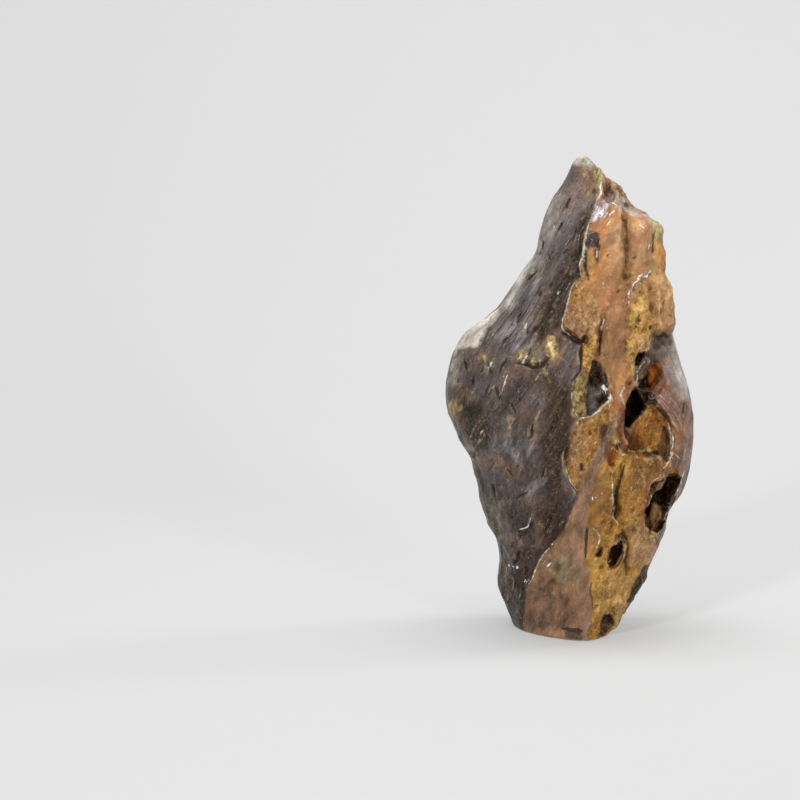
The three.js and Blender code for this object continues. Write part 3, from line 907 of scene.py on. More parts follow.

# %% [markdown]
# ## Veins, glints and cracks
# Cream veins edge the layers. Along the bark edge and the rims of the hollows the
# cream lines are painted highlights, and the white glints are painted highlights of
# wet edges. Dark cracks follow the steps. They could be thin raised tubes, but most
# are under a millimetre wide, so they are drawn as fine lines. Wide rosy bands are
# ordinary stains along a line.

# %% Veins, glints and cracks on the front
VEINS = [
    # points, width in mm, kind
    # the cream lines along the bark edge are painted highlights on its rim
    (BARK_EDGE[3:9], 0.9, "cream"), (BARK_EDGE[8:15], 0.7, "cream"),
    (BARK_EDGE[19:23], 0.6, "cream"), (BARK_EDGE[24:27], 0.5, "cream"),
    ([(3, 126), (9, 125.5), (14, 128.5), (17.5, 132), (21, 136), (21, 141)], 1.2, "cream"),
    ([(17.5, 144), (18.5, 138)], 0.9, "glint"), ([(15.5, 143), (19.5, 141)], 1.4, "glint"),
    ([(45.5, 210.5), (43, 206.5), (40, 205.5)], 0.8, "glint"),
    ([(38.5, 204.5), (35, 202), (32.5, 197)], 0.7, "glint"),
    ([(41, 208), (37, 205.5)], 0.5, "glint"), ([(31.5, 199), (30.5, 193)], 0.6, "glint"),
    ([(16, 181), (15, 175)], 1.1, "glint"), ([(17, 262), (16.5, 255), (13.5, 250)], 1.2, "glint"),
    ([(12, 240), (18, 246)], 1.4, "glint"), ([(11, 243), (15, 248)], 1.0, "glint"),
    ([(43, 232), (42.6, 229)], 0.7, "glint"), ([(44, 226), (43.2, 221.5)], 0.6, "glint"),
    ([(38, 236), (41, 234)], 0.9, "glint"), ([(13.5, 223), (13, 217)], 0.9, "glint"),
    ([(36, 150), (37, 144), (39, 141.5)], 0.9, "glint"),
    ([(29, 143), (26, 138), (28, 133)], 1.0, "glint"),
    ([(55, 122), (55.5, 117.5), (57.5, 112.5), (58, 106), (56.5, 102.5), (51.5, 96)], 1.5,
      "cream"),
    ([(58, 106), (60, 103.5), (62.5, 101.5)], 0.7, "cream"),
    ([(22, 95.5), (22, 84.5), (23, 77.5), (23, 68.5), (27, 61.5)], 1.1, "cream"),
    ([(25, 110), (28, 104), (30, 104)], 1.0, "cream"),
    ([(62, 85), (58, 74), (55.5, 65)], 0.9, "glint"),
    ([(66, 94), (64, 89), (62.5, 84)], 0.6, "glint"), ([(48, 54.5), (49.5, 51)], 0.8, "cream"),
    ([(-23.5, 67), (-25, 62), (-30, 60)], 0.9, "glint"),
    ([(-10, 54.5), (-16.5, 46.5), (-20.5, 37.5), (-24, 28)], 0.9, "cream"),
    ([(-13, 41.5), (-15, 38.5)], 0.9, "glint"), ([(-35.5, 39.5), (-35.5, 37.5)], 1.1, "glint"),
    ([(-31.5, 38.5), (-31.5, 36.5)], 1.1, "glint"), ([(-26, 31.5), (-26.5, 29.5)], 1.1, "glint"),
    ([(11, 62), (15, 56), (13, 50)], 0.8, "cream"),
    ([(10, 240), (8, 230), (6.5, 222)], 0.9, "cream"),
    ([(-37, 150), (-40, 143), (-41, 138)], 0.8, "cream"),
    ([(36, 149.5), (36.5, 144.5), (39, 141.5), (44, 140), (50, 134)], 0.8, "lilac"),
    ([(12, 218), (14, 224), (15, 228)], 1.2, "crack"),
    ([(8, 203), (6.5, 212), (7.5, 221)], 1.0, "crack"),
    ([(22.5, 249.5), (27, 247.5)], 0.7, "glint"),
    ([(24.5, 244.5), (22, 242.5), (20, 241)], 0.7, "glint"),
    ([(21, 239), (18.5, 235.5)], 0.8, "glint"), ([(17, 240), (21, 245)], 0.7, "cream"),
    ([(66, 111), (66.5, 106), (65, 100)], 0.6, "lilac"),
    ([(8, 62), (6.5, 52), (7.5, 44)], 1.8, "crack"), ([(10.5, 30), (11.5, 12)], 0.9, "umber"),
    ([(25, 127), (19, 113), (11, 96), (5, 78), (3, 60), (3, 48)], 5.0, "rosy"),
    ([(42, 241), (45, 233), (43.5, 218), (45.5, 209)], 4.0, "rosy"),
    ([(46, 210), (40, 206), (33, 199), (30, 188)], 3.5, "rosy"),
    ([(3, 52), (5.5, 36), (8, 15), (8, -10)], 5.5, "rosy"),
    ([(29.5, 98), (27, 89), (25, 80), (24, 71)], 1.5, "crack"),
    ([(-6.5, 175), (-2, 172), (3.5, 168.5), (5, 172)], 2.2, "crack"),
    ([(-34, 156.5), (-25.5, 154.5), (-19.5, 154.5), (-14, 160)], 1.6, "crack"),
    ([(3.5, 168), (4, 160), (3, 152), (-2.5, 146)], 1.6, "crack"),
    ([(14.5, 177), (15.5, 172), (14.5, 161)], 1.4, "crack"),
    ([(31.5, 240), (31, 232.5), (30, 224)], 0.5, "umber"),
    ([(15.5, 225), (13.5, 221), (13.5, 216)], 1.5, "crack"),
    ([(6.5, 220), (6, 212), (8, 204)], 1.2, "crack"),
    ([(48, 234), (46, 227), (46, 220)], 1.0, "umber"),
    ([(30, 58), (31.5, 48), (30.5, 41), (32, 33)], 1.0, "umber"),
    ([(38, 184), (36, 181), (37.5, 179)], 1.4, "umber"), ([(43, 178), (44, 175.5)], 1.6, "umber"),
    ([(48, 131), (52, 127), (56, 122)], 1.8, "crack"),
    # thin cream lines and glints on the rims of hollows and raised patches: painted highlights
    ([(41.5, 80), (45, 86.5), (49, 90.5), (53, 91.5)], 0.35, "cream"),
    ([(30, 120), (30, 127), (31, 135)], 0.4, "glint"),
    ([(29.5, 50), (28, 44), (25.5, 39.5)], 0.4, "cream"), ([(18, 11.5), (24, 11)], 0.4, "cream"),
    ([(31, 106), (36, 105.5), (41, 106)], 0.5, "cream"),
    ([(34.5, 149.5), (37, 154.5), (41.5, 158)], 0.4, "glint"),
    ([(29, 167), (33, 157), (34, 151)], 0.5, "cream"),
    ([(45.5, 172), (44, 165), (40, 163)], 0.5, "cream"),
    ([(-5, 98), (-2, 89), (2, 82)], 0.5, "cream"), ([(5, 155), (8, 152), (10, 157)], 0.4, "cream"),
    ([(65, 133), (65, 126)], 1.2, "crack"), ([(-5, 2), (7, 1)], 2.4, "crack"),
]
for line, width, kind in VEINS:
    if kind in FINE_LINES:
        front.draw_line(kind, line, width)
    else:
        front.stain_line(kind, line, width)
print("veins, glints and cracks:", len(VEINS))

# %% [markdown]
# ## Gashes, pits and glints by chance
# Besides the large gashes, the skin has a great many small ones. They all run up to
# the right, like the scales on a pine trunk. The flesh has round pits, and tiny wet
# edges that catch the light. Drawing hundreds of them would be tedious, so they are
# strewn by chance with a fixed seed, and a place that wears another finish is left
# alone.

# %% Strewn gashes
def stain_value(face, name, u, v):
    column = int((u - face.u[0, 0]) / STEP)
    row = int((v - face.v[0, 0]) / STEP)
    return face.stain[name][column, row] if name in face.stain else -FAR


def half_way(length, turn):
    """Half of a line's length, as a move across and a move up."""
    return length / 2 * math.cos(turn), length / 2 * math.sin(turn)


def strew_gashes(face, seed, count):
    dice = np.random.default_rng(seed)
    made = 0
    for _ in range(count):
        u, v = dice.uniform(-76, 74), dice.uniform(4, 276)
        length, turn = dice.uniform(2, 7), math.radians(dice.normal(62, 10))
        deep, wide = dice.uniform(0.4, 1.2), dice.uniform(1.0, 1.8)
        pale = dice.uniform(0, 1)
        if stain_value(face, "bark", u, v) < 3:
            continue
        du, dv = half_way(length, turn)
        bend = dice.uniform(-0.8, 0.8)
        gash = [(u - du, v - dv), (u + bend, v), (u + du, v + dv)]
        face.raise_line(gash, -deep, wide)
        face.draw_line("crack", gash, wide * 0.5, lip=0.5 if pale > 0.92 else 0.0)
        made += 1
    return made


print("front gashes:", strew_gashes(front, 5, 110))

# %% Strewn pits
def strew_pits(face, seed, count):
    dice = np.random.default_rng(seed)
    made = 0
    for _ in range(count):
        u, v = dice.uniform(-70, 72), dice.uniform(4, 272)
        size, deep = dice.uniform(0.7, 2.0), dice.uniform(0.5, 1.6)
        if stain_value(face, "bark", u, v) > -2 or stain_value(face, "plate", u, v) > -1:
            continue
        pit = [(u, v), (u + dice.uniform(-size, size), v + 0.1 + dice.uniform(0, size))]
        face.raise_line(pit, -deep, size)
        if size > 1.7:
            face.draw_line("umber", pit, 0.7 * size)
        made += 1
    return made


print("front pits:", strew_pits(front, 6, 320))

# %% Strewn glints
NO_GLINT = ("bark", "plate", "mauve", "slate", "black")


def strew_glints(face, seed, count):
    """Tiny wet edges that catch the light, on rough flesh only."""
    dice = np.random.default_rng(seed)
    made = 0
    for _ in range(count):
        u, v = dice.uniform(-40, 70), dice.uniform(6, 262)
        length, turn = dice.uniform(0.8, 2.6), math.radians(dice.normal(60, 40))
        if max(stain_value(face, name, u, v) for name in NO_GLINT) > -1:
            continue
        du, dv = half_way(length, turn)
        kind = "glint" if made % 2 else "cream"
        face.draw_line(kind, [(u - du, v - dv), (u + du, v + dv)], dice.uniform(0.25, 0.5))
        made += 1
    return made


print("front glints:", strew_glints(front, 7, 260))

# %% [markdown]
# ## Skin and flesh of the back
# The back is made to belong to the front. The skin covers most of it, and the flesh
# comes round from the right side. A mirror image of the front would be easier, but
# it shows at once. So the skin has a ragged edge of its own, and it has broken away
# in two windows, where the flesh lies lower and has a hole.

# %% Skin, windows and holes of the back
BACK_BARK = [
    (-100, 300), (18, 300), (25, 262), (38, 240), (33, 214), (44, 190), (36, 168), (47, 140),
    (41, 118), (52, 96), (44, 70), (34, 52), (37, 30), (24, 12), (26, -17), (-100, -17),
]
HIGH_WINDOW = [
    (-9, 229), (-5, 222), (-5.5, 213), (-2, 207), (-4, 198), (1, 191), (4.5, 183), (3, 174),
    (-1, 168), (-2, 160), (-6, 153), (-9, 160), (-13, 166), (-12, 175), (-16, 184), (-19, 191),
    (-16.5, 199), (-18, 207), (-14, 216),
]
LOW_WINDOW = [
    (-29, 93), (-24, 87), (-20.5, 85), (-19, 77), (-14.5, 70), (-15.5, 61), (-20, 56), (-22, 48),
    (-29, 47), (-33, 53), (-39, 57), (-37.5, 66), (-39.5, 74), (-34, 82),
]
# the black of these holes is partly painted shade
BACK_HOLES = [
    [(-10, 182), (-5, 178), (-6, 170), (-11, 172)], [(-29, 72), (-23, 68), (-25, 58), (-31, 62)],
    [(50, 120), (56, 114), (54, 104), (49, 108)], [(42, 212), (47, 206), (45, 198), (40, 203)],
]
in_back_bark = back.inside(BACK_BARK, whole)
for window in (HIGH_WINDOW, LOW_WINDOW):
    in_back_bark = np.minimum(in_back_bark, -back.inside(window, whole))
    back.shape_patches([("window", -2.0, 2.2, "ochre", window)])
    back.draw_line("cream", window[2:9], 0.6)
    back.draw_line("crack", window[9:13], 1.2)
back.stain["bark"] = np.clip(in_back_bark, -FAR, FAR)
back.relief -= 1.6 * ease(-in_back_bark, -0.8, 1.4)
back.draw_line("cream", BACK_BARK[1:15], 1.1)
back.shape_patches([("hole", -7.0, 2.0, "black", hole) for hole in BACK_HOLES])
print("bark covers", round(float((in_back_bark > 0).mean()), 2), "of the back map")

# %% [markdown]
# ## Short torn cracks
# The skin of the back has a few low steps where one scale ends and the next begins.
# Long cracks right across would look drawn. Short bent ones, each with a raised side
# and a dark line, look torn.

# %% Edges of the scales
SCALE_EDGES = [
    # points, depth in mm
    ([(-58, 142), (-50, 149), (-40, 152), (-29, 151), (-20, 147)], 1.3),
    ([(-16, 148), (-9, 146), (-3, 141)], 0.8), ([(6, 158), (13, 157), (20, 152), (25, 145)], 1.2),
    ([(-30, 232), (-22, 236), (-15, 243), (-11, 251)], 1.0),
    ([(-44, 196), (-36, 199), (-29, 206), (-26, 214)], 1.1),
    ([(10, 118), (15, 110), (17, 101), (16, 92)], 1.2),
    ([(-50, 112), (-42, 110), (-33, 104), (-27, 96)], 1.3),
    ([(-8, 112), (-1, 110), (5, 104)], 0.9), ([(-10, 36), (-2, 33), (7, 33)], 1.0),
    ([(12, 214), (16, 206), (17, 197), (22, 188)], 1.1),
    ([(-52, 80), (-48, 72), (-47, 63), (-42, 54)], 1.2), ([(-2, 84), (4, 78), (7, 70)], 1.0),
    ([(-36, 26), (-30, 20), (-22, 18)], 1.0), ([(18, 60), (22, 50), (21, 40)], 0.9),
]
for edge, depth in SCALE_EDGES:
    back.raise_line(edge, -depth, 2.4)
    back.draw_line("crack", edge, 0.6 * depth, lip=0.3)
    back.raise_line([(u - 1.5, v - 1.5) for u, v in edge], 0.5 * depth, 2.4)
print("scale edges:", len(SCALE_EDGES))

# %% [markdown]
# ## Washes on the back
# The back wears the same stains as the front, in places of its own. Large ones are
# drawn, and small smears are thrown in by chance, dark ones among them. The painted
# shade is kept on the skin, because it would look like dirt on the flesh, apart from
# one dark patch of painted shade on the right flank.

# %% Washes on the back
BACK_STRAW = [
    [(-44, 154), (-39, 156), (-33, 154), (-38, 151.5)], [(8, 160), (14, 161), (13, 157.5)],
    [(-12, 150), (-8, 151), (-9, 146.5)], [(-30, 101), (-26, 99), (-27, 95)],
    [(22, 128), (26, 131), (25, 124), (22, 123)], [(-20, 242), (-16, 246), (-17, 240)],
]
BACK_WASHES = {
    "rust": [
        [(-60, 140), (-18, 146), (-8, 132), (-30, 122), (-58, 124)],
        [(6, 200), (22, 196), (24, 160), (10, 150), (6, 176)],
    ],
    # painted shade on the skin of the back
    "dusk": [
        [(-8, 234), (6, 226), (4, 196), (-2, 178), (-22, 150), (-26, 190), (-18, 226)],
        [(-46, 98), (-22, 102), (-6, 80), (-10, 44), (-34, 36), (-48, 54)],
    ],
    "blue": [
        [(-56, 184), (-36, 196), (-30, 168), (-50, 160)],
        [(2, 140), (22, 146), (26, 116), (8, 112)],
    ],
    "tan": [
        [(-46, 118), (-34, 122), (-30, 112), (-44, 108)], [(4, 64), (14, 66), (12, 50), (2, 48)],
    ],
    "moss": [
        [(-64, 128), (-50, 132), (-46, 108), (-58, 104)],
        [(-22, 26), (-4, 30), (-2, 10), (-20, 6)],
    ],
    # pale: painted sheen on the tip and the shoulder of the back
    "pale": [
        [(-2, 272), (20, 272), (20, 284), (-4, 284)],
        [(-90, 186), (-60, 184), (-62, 164), (-90, 160)],
    ],
    # soft painted sheen along the outline of the back and on the right flank
    "mist": [
        [(-50, 200), (-30, 226), (-18, 250), (-34, 262), (-70, 220)],
        [(64, 182), (90, 186), (90, 138), (70, 139), (66, 151), (69, 161), (62, 170)],
    ],
    "honey": [
        [(-16, 206), (-8, 204), (-8, 192), (-16, 190)],
        [(-24, 84), (-16, 66), (-24, 62), (-30, 78)],
    ],
    "toffee": [
        [(-6, 196), (4, 186), (0, 170), (-10, 168)], [(-38, 70), (-30, 66), (-28, 48), (-38, 56)],
        [(44, 112), (90, 112), (90, 82), (48, 86)],
    ],
    "mauve": [
        [(44, 176), (90, 176), (90, 84), (60, 88), (52, 104), (46, 130), (40, 160)],
    ],
    "gold": [
        [(40, 232), (60, 226), (62, 188), (46, 186)],
    ],
    # slate on the right rim: partly painted shade where it turns from the light
    "slate": [
        [(90, 108), (62, 104), (66, 92), (58, 84), (62, 70), (56, 62), (90, 52)],
    ],
    "plate": [
        [(30, 40), (37, 52), (46, 48), (52, 56), (60, 42), (90, 30), (90, -17), (28, -17)],
    ],
}
# painted shade on the lower right flank
FLANK_SHADE = [
    (60, 50), (46, 42), (42, 36), (34, 33), (36, 28), (29, 24), (32, 18), (27, 12), (60, 6),
]
SMEARS, SMEAR_SEED = ("blue", "rust", "moss", "dusk") * 6, 700

back.shape_patches([("straw spot", 0.8, 1.5, "straw", outline) for outline in BACK_STRAW])
back.wash(BACK_WASHES)
for number, stain in enumerate(SMEARS):
    dice = np.random.default_rng(SMEAR_SEED + number)
    u, v, wide, tall = dice.uniform((-70, 10, 5, 8), (60, 250, 12, 24))
    smear = [(u, v), (u + wide, v + 3), (u + wide, v + tall), (u - 2, v + tall - 4)]
    back.stain_patch(stain, smear)
back.stain["dusk"] = np.minimum(back.stain["dusk"], in_back_bark + 1.5)
back.stain_patch("dusk", FLANK_SHADE)
print("back washes:", sum(len(outlines) for outlines in BACK_WASHES.values()))

# %% [markdown]
# ## Strewn marks of the back
# The back gets its own throw of gashes, pits and glints. A stain that only one face
# has is added to the other as well, all of it far away, so that both can be read.

# %% Strewn marks on the back
print("back gashes:", strew_gashes(back, 25, 260), "pits:", strew_pits(back, 26, 260))
print("back glints:", strew_glints(back, 27, 160))

stain_names = sorted(set(front.stain) | set(back.stain))
for face in (front, back):
    for name in stain_names:
        face.stain.setdefault(name, np.full_like(face.u, -FAR))
print("stains:", stain_names)

# %% [markdown]
# ## From solid to block
# A displace modifier can only push points along their normals, and it tears or
# folds where a wall is steep. Carving is safer where every point knows its distance
# from the surface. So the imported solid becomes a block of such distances, under a
# millimetre apart. A map then only has to shift them, and walls and steps come out
# clean.

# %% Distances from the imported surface
VOXEL = 0.75                       # mm between samples of distance
REACH = 26                         # samples whose distance is known beside the surface
LOW_CORNER = np.array((-84.0, -66.0, -9.0))
BLOCK_LOW = tuple(int(edge) for edge in np.floor(LOW_CORNER / VOXEL))
BLOCK_SIZE = (224, 176, 396)       # samples


def mesh_arrays(mesh):
    """Points in mm and triangles of a mesh."""
    points = np.empty(len(mesh.vertices) * 3, dtype=np.float32)
    mesh.vertices.foreach_get("co", points)
    mesh.calc_loop_triangles()
    triangles = np.empty(len(mesh.loop_triangles) * 3, dtype=np.int32)
    mesh.loop_triangles.foreach_get("vertices", triangles)
    return points.reshape(-1, 3) / MM, triangles.reshape(-1, 3).astype(np.uint32)


def distances_from(points, triangles):
    """A block of distances in mm, below zero inside the solid."""
    level = openvdb.FloatGrid.createLevelSetFromPolygons(
        points, triangles=triangles,
        transform=openvdb.createLinearTransform(voxelSize=VOXEL), halfWidth=REACH,
    )
    block = np.empty(BLOCK_SIZE, dtype=np.float32)
    level.copyToArray(block, ijk=BLOCK_LOW)
    return block


solid_points, solid_triangles = mesh_arrays(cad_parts["stone"].data)
block = distances_from(solid_points, solid_triangles)
print("stone volume, cm3:", round(float((block < 0).sum()) * VOXEL**3 / 1000))

# %% [markdown]
# ## From the maps into space
# A place on the stone lies on both maps, and the side that it faces decides which
# one it takes. A straight border between them would show as a seam, so the border
# wanders, and the inside of a hollow keeps to the front's map.

# %% Read the maps in space
def read_map(face, values, u, v):
    """A face map's values at places u, v, blended between its samples."""
    column = np.clip((u - face.u[0, 0]) / STEP, 0, values.shape[0] - 1.001)
    row = np.clip((v - face.v[0, 0]) / STEP, 0, values.shape[1] - 1.001)
    i, j = column.astype(np.int32), row.astype(np.int32)
    a, b = column - i, row - j
    low = values[i, j] * (1 - a) + values[i + 1, j] * a
    high = values[i, j + 1] * (1 - a) + values[i + 1, j + 1] * a
    return low * (1 - b) + high * b


def height_on_face(y, z, sign):
    """The v of a point on a face's map: sign is 1 for the front, -1 for the back."""
    return z * math.cos(LEAN) + sign * y * math.sin(LEAN)


TURN_MM = 16           # how far a full turn to the back moves the border
HOLLOW_MM = 14         # how far a hollow holds it off


def back_share(places, facing):
    """0 where a place takes its stains from the front's map and 1 from the back's."""
    x, y, z = places.T
    wander = 7 * mottle(x, y, z, 22, 91) + 3 * mottle(x, y, z, 7, 92)
    hollow = ease(read_map(front, front.stain["black"], x, height_on_face(y, z, 1)), -3, 1)
    return ease(y + TURN_MM * facing + wander - HOLLOW_MM * hollow, -4, 4)


def stain_at(places, share, name):
    x, y, z = places.T
    from_front = read_map(front, front.stain[name], x, height_on_face(y, z, 1))
    from_back = read_map(back, back.stain[name], x, height_on_face(y, z, -1))
    return from_front * (1 - share) + from_back * share


def band(block, width):
    """Places near the surface, and how much each looks to the back, from -1 to 1."""
    index = np.nonzero(np.abs(block) < width)
    places = np.stack([(i + low) * VOXEL for i, low in zip(index, BLOCK_LOW)], axis=1)
    slope = [
        block[index[0], np.clip(index[1] + side, 0, BLOCK_SIZE[1] - 1), index[2]]
        for side in (-1, 1)
    ]
    facing = np.clip((slope[1] - slope[0]) / (2 * VOXEL), -1, 1)
    return index, places.astype(np.float32), facing


print("great hole, mm:", round(float(read_map(front, front.relief, 54.0, 80.0)), 1))

# %% [markdown]
# ## Carve the relief
# Taking height off a distance moves the surface inward by just that much. A place
# takes relief only from a map that it faces, or a flank would get it twice. The foot
# is left flat. Two shoulders are then trimmed to the real outline.

# %% Carve the relief into the block
FACES_IT = (0.05, 0.4)     # how squarely a place looks to the side that carves it
FLAT_FOOT = 5              # mm over which the relief fades above the underside


def carve_relief(block):
    index, places, facing = band(block, (REACH - 2) * VOXEL)
    x, y, z = places.T
    change = ease(-facing, *FACES_IT) * read_map(front, front.relief, x, height_on_face(y, z, 1))
    change += ease(facing, *FACES_IT) * read_map(back, back.relief, x, height_on_face(y, z, -1))
    block[index] -= change * ease(z, 0, FLAT_FOOT)


def trim_shoulders(block):
    """Shave the right shoulder and fill out the left slope below the tip."""
    index, places, _ = band(block, (REACH - 4) * VOXEL)
    x, _, z = places.T
    block[index] += 2.6 * ease(x, 10, 32) * ease(z, 172, 196)
    block[index] += 3.0 * ease(x, 6, 16) * ease(z, 262, 272)
    block[index] -= 1.8 * ease(-x, 0, 12) * ease(z, 222, 236) * ease(-z, -268, -252)


carve_relief(block)
trim_shoulders(block)
print("carved volume, cm3:", round(float((block < 0).sum()) * VOXEL**3 / 1000))

# %% [markdown]
# ## Soften the walls
# Steep walls still show the steps of the block. A smooth modifier would round every
# edge of the mesh later. One light blur of the distances takes off only the steps.

# %% Soften the walls
def soften(block):
    """One light blur, which takes the small steps off steep walls."""
    for axis in range(3):
        block = 0.5 * block + 0.25 * (np.roll(block, 1, axis) + np.roll(block, -1, axis))
    return block


block = soften(block)
print("softened volume, cm3:", round(float((block < 0).sum()) * VOXEL**3 / 1000))

# %% [markdown]
# ## Back to a mesh
# The surface is where the distance is zero. It is meshed with one quad for every
# sample that it passes, so no face is stray and no edge is open.

# %% Back to a mesh
def block_to_points(block):
    level = openvdb.FloatGrid(float(REACH))
    level.copyFromArray(block, ijk=BLOCK_LOW)
    level.transform = openvdb.createLinearTransform(voxelSize=VOXEL)
    points, _, quads = level.convertToPolygons(0.0, 0.0)
    return points, quads


def build_mesh(name, points, faces):
    mesh = bpy.data.meshes.new(name)
    corners = faces.shape[1]
    mesh.vertices.add(len(points))
    mesh.vertices.foreach_set("co", (points * MM).astype(np.float32).ravel())
    mesh.loops.add(faces.size)
    mesh.loops.foreach_set("vertex_index", faces.astype(np.int32).ravel())
    mesh.polygons.add(len(faces))
    mesh.polygons.foreach_set("loop_start", np.arange(0, faces.size, corners, dtype=np.int32))
    mesh.update(calc_edges=True)
    mesh.polygons.foreach_set("use_smooth", np.ones(len(faces), dtype=bool))
    return mesh


points, quads = block_to_points(block)
stone = bpy.data.objects.new("carved_stone", build_mesh("carved_stone", points, quads))
bpy.context.scene.collection.objects.link(stone)
print("points", len(points), "quads", len(quads), "at", round(time.time() - started, 1), "s")

# %% [markdown]
# ## Grain of bark and flesh
# Bark has long low ridges that run with its gashes, over broad flat scales. Flesh is
# rougher: it breaks in small faces, and its soft spots are eaten out. Smooth plates
# keep only a trace of both. A bump in the material would not show on the outline,
# so each point of the mesh moves along its own normal.

# %% Grain, as moves of the points
def vertex_arrays(mesh):
    count = len(mesh.vertices)
    places = np.empty(count * 3, dtype=np.float32)
    mesh.vertices.foreach_get("co", places)
    normals = np.empty(count * 3, dtype=np.float32)
    mesh.vertex_normals.foreach_get("vector", normals)
    return places.reshape(-1, 3) / MM, normals.reshape(-1, 3)


SMOOTH = ("brown", "plate", "mauve", "slate", "pale", "mist", "rose", "orange", "ink", "worn")
RIDGE_RIGHT, RIDGE_UP = 0.5, 0.866     # the skin's ridges run up to the right
MOST_MOVE = 2.2                    # mm


def calm_at(places, share):
    """1 where the stone is worn smooth and 0 where it is rough."""
    return np.maximum.reduce([ease(stain_at(places, share, name), -1, 3) for name in SMOOTH])


def grain(places, share):
    """How far each point moves, in mm."""
    x, y, z = places.T
    along = RIDGE_RIGHT * x + RIDGE_UP * z
    across = RIDGE_UP * x - RIDGE_RIGHT * z
    bark = ease(stain_at(places, share, "bark"), -0.5, 1.0)
    calm = calm_at(places, share)
    gold = ease(stain_at(places, share, "gold"), -1, 3)
    scales = 0.7 * scoops(across, y, along, (15, 15, 34), 61)
    scales += 0.2 * scoops(across, y, along, (5, 6, 12), 60)
    ridges = 0.15 * rough(across, y, along, (3.5, 6, 18), 62)
    on_bark = (scales + ridges + 0.3 * rough(x, y, z, 16, 63)) * (1 - 0.5 * calm)

    rugged = 0.7 + 0.6 * mottle(x, y, z, 24, 70)
    broken = 1.2 * scoops(x, y, z, (14, 14, 20), 64) + rugged * 1.0 * scoops(x, y, z, (6, 6, 9), 65)
    broken += rugged * 0.3 * scoops(x, y, z, (3, 3, 4), 59)
    eaten = -0.5 * ease(mottle(x, y, z, (3.5, 3.5, 6), 66), 0.5, 0.9)
    on_flesh = (broken + eaten + 0.25 * rough(x, y, z, 6, 67)) * (1 - 0.75 * calm)
    on_flesh += 0.35 * calm * rough(x, y, z, (7, 7, 20), 58)
    lumps = 1.0 * rough(x, y, z, 8, 68, 2) - 1.4 * ease(mottle(x, y, z, 5.5, 69), 0.15, 0.6)
    on_flesh += gold * lumps
    return bark * on_bark + (1 - bark) * on_flesh


def add_grain(piece):
    places, normals = vertex_arrays(piece.data)
    share = back_share(places, normals[:, 1])
    foot_fade = ease(places[:, 2], 0.5, FLAT_FOOT)
    move = np.clip(grain(places, share), -MOST_MOVE, MOST_MOVE) * foot_fade
    places += normals * move[:, None]
    piece.data.vertices.foreach_set("co", (places * MM).astype(np.float32).ravel())
    piece.data.update()
    return float(move.min()), float(move.max())


print("grain, mm:", add_grain(stone))

# %% [markdown]
# ## Thin the mesh
# The block gives the same small quads everywhere, also where the stone is flat. A
# remesh would soften the edges, while a decimate modifier takes points away where
# they matter least.

# %% Thin the mesh where it is flat
MOST_TRIANGLES = 194_000


def thin(piece, most):
    triangles = sum(len(face.vertices) - 2 for face in piece.data.polygons)
    modifier = piece.modifiers.new("thin", "DECIMATE")
    modifier.ratio = min(1.0, most / triangles)
    graph = bpy.context.evaluated_depsgraph_get()
    thinned = bpy.data.meshes.new_from_object(piece.evaluated_get(graph))
    piece.modifiers.clear()
    piece.data = thinned
    return triangles, sum(len(face.vertices) - 2 for face in thinned.polygons)


print("triangles before and after:", thin(stone, MOST_TRIANGLES))

# %% [markdown]
# ## Stains on the mesh
# Each point of the mesh now gets its distance inside every stain, which the finish
# reads later. It also gets how far it stands out from its surroundings, over a few
# edges and over many, so that worn edges and crevices can be found.

# %% Write the stains on the mesh
def write_values(mesh, name, values):
    layer = mesh.attributes.new(name, "FLOAT", "POINT")
    layer.data.foreach_set("value", values.astype(np.float32))


def bulge(mesh, places, normals, rounds):
    """How far each point stands out from its surroundings, in mm."""
    ends = np.empty(len(mesh.edges) * 2, dtype=np.int32)
    mesh.edges.foreach_get("vertices", ends)
    one, other = ends.reshape(-1, 2).T
    count = np.bincount(ends, minlength=len(places))[:, None]
    flat = places.astype(np.float64)
    for _ in range(rounds):
        total = np.stack(
            [
                np.bincount(one, flat[other, axis], len(places))
                + np.bincount(other, flat[one, axis], len(places))
                for axis in range(3)
            ],
            axis=1,
        )
        flat = total / count
    return ((places - flat) * normals).sum(axis=1)


places, normals = vertex_arrays(stone.data)
share = back_share(places, normals[:, 1])
for name in stain_names:
    write_values(stone.data, name, stain_at(places, share, name))
write_values(stone.data, "calm", calm_at(places, share))
BULGES = (("edge_fine", 3), ("edge_broad", 40))      # name, rounds of smoothing
for name, rounds in BULGES:
    standing_out = bulge(stone.data, places, normals, rounds)
    write_values(stone.data, name, standing_out)
    print(name, np.percentile(standing_out, (2, 25, 50, 75, 98)).round(2).tolist())
print("stains written at", round(time.time() - started, 1), "s")

# %% [markdown]
# ## Stain and gloss
# The finish is one material, as the stone is one body. Several materials would meet
# in hard seams. Every stain on the mesh is a distance, so a small step in the shader
# turns it into a patch. A few helpers keep the many nodes readable: each one makes a
# node, feeds it, and hands on what comes out.

# %% Shader helpers
finish = bpy.data.materials.new("wet_stone")
finish.use_nodes = True
nodes, links = finish.node_tree.nodes, finish.node_tree.links
shader = nodes["Principled BSDF"]


def feed(socket, value):
    """Link another node to a socket, or set it to a number or a colour."""
    if isinstance(value, bpy.types.NodeSocket):
        links.new(value, socket)
    elif isinstance(value, tuple) and socket.type == "RGBA":
        socket.default_value = (*value, 1)
    else:
        socket.default_value = value


def math_of(operation, first, second=0.0):
    node = nodes.new("ShaderNodeMath")
    node.operation = operation
    feed(node.inputs[0], first)
    feed(node.inputs[1], second)
    return node.outputs[0]


def times(first, second):
    return math_of("MULTIPLY", first, second)


def plus(first, second):
    return math_of("ADD", first, second)


def minus(first, second):
    return math_of("SUBTRACT", first, second)


print("material:", finish.name)


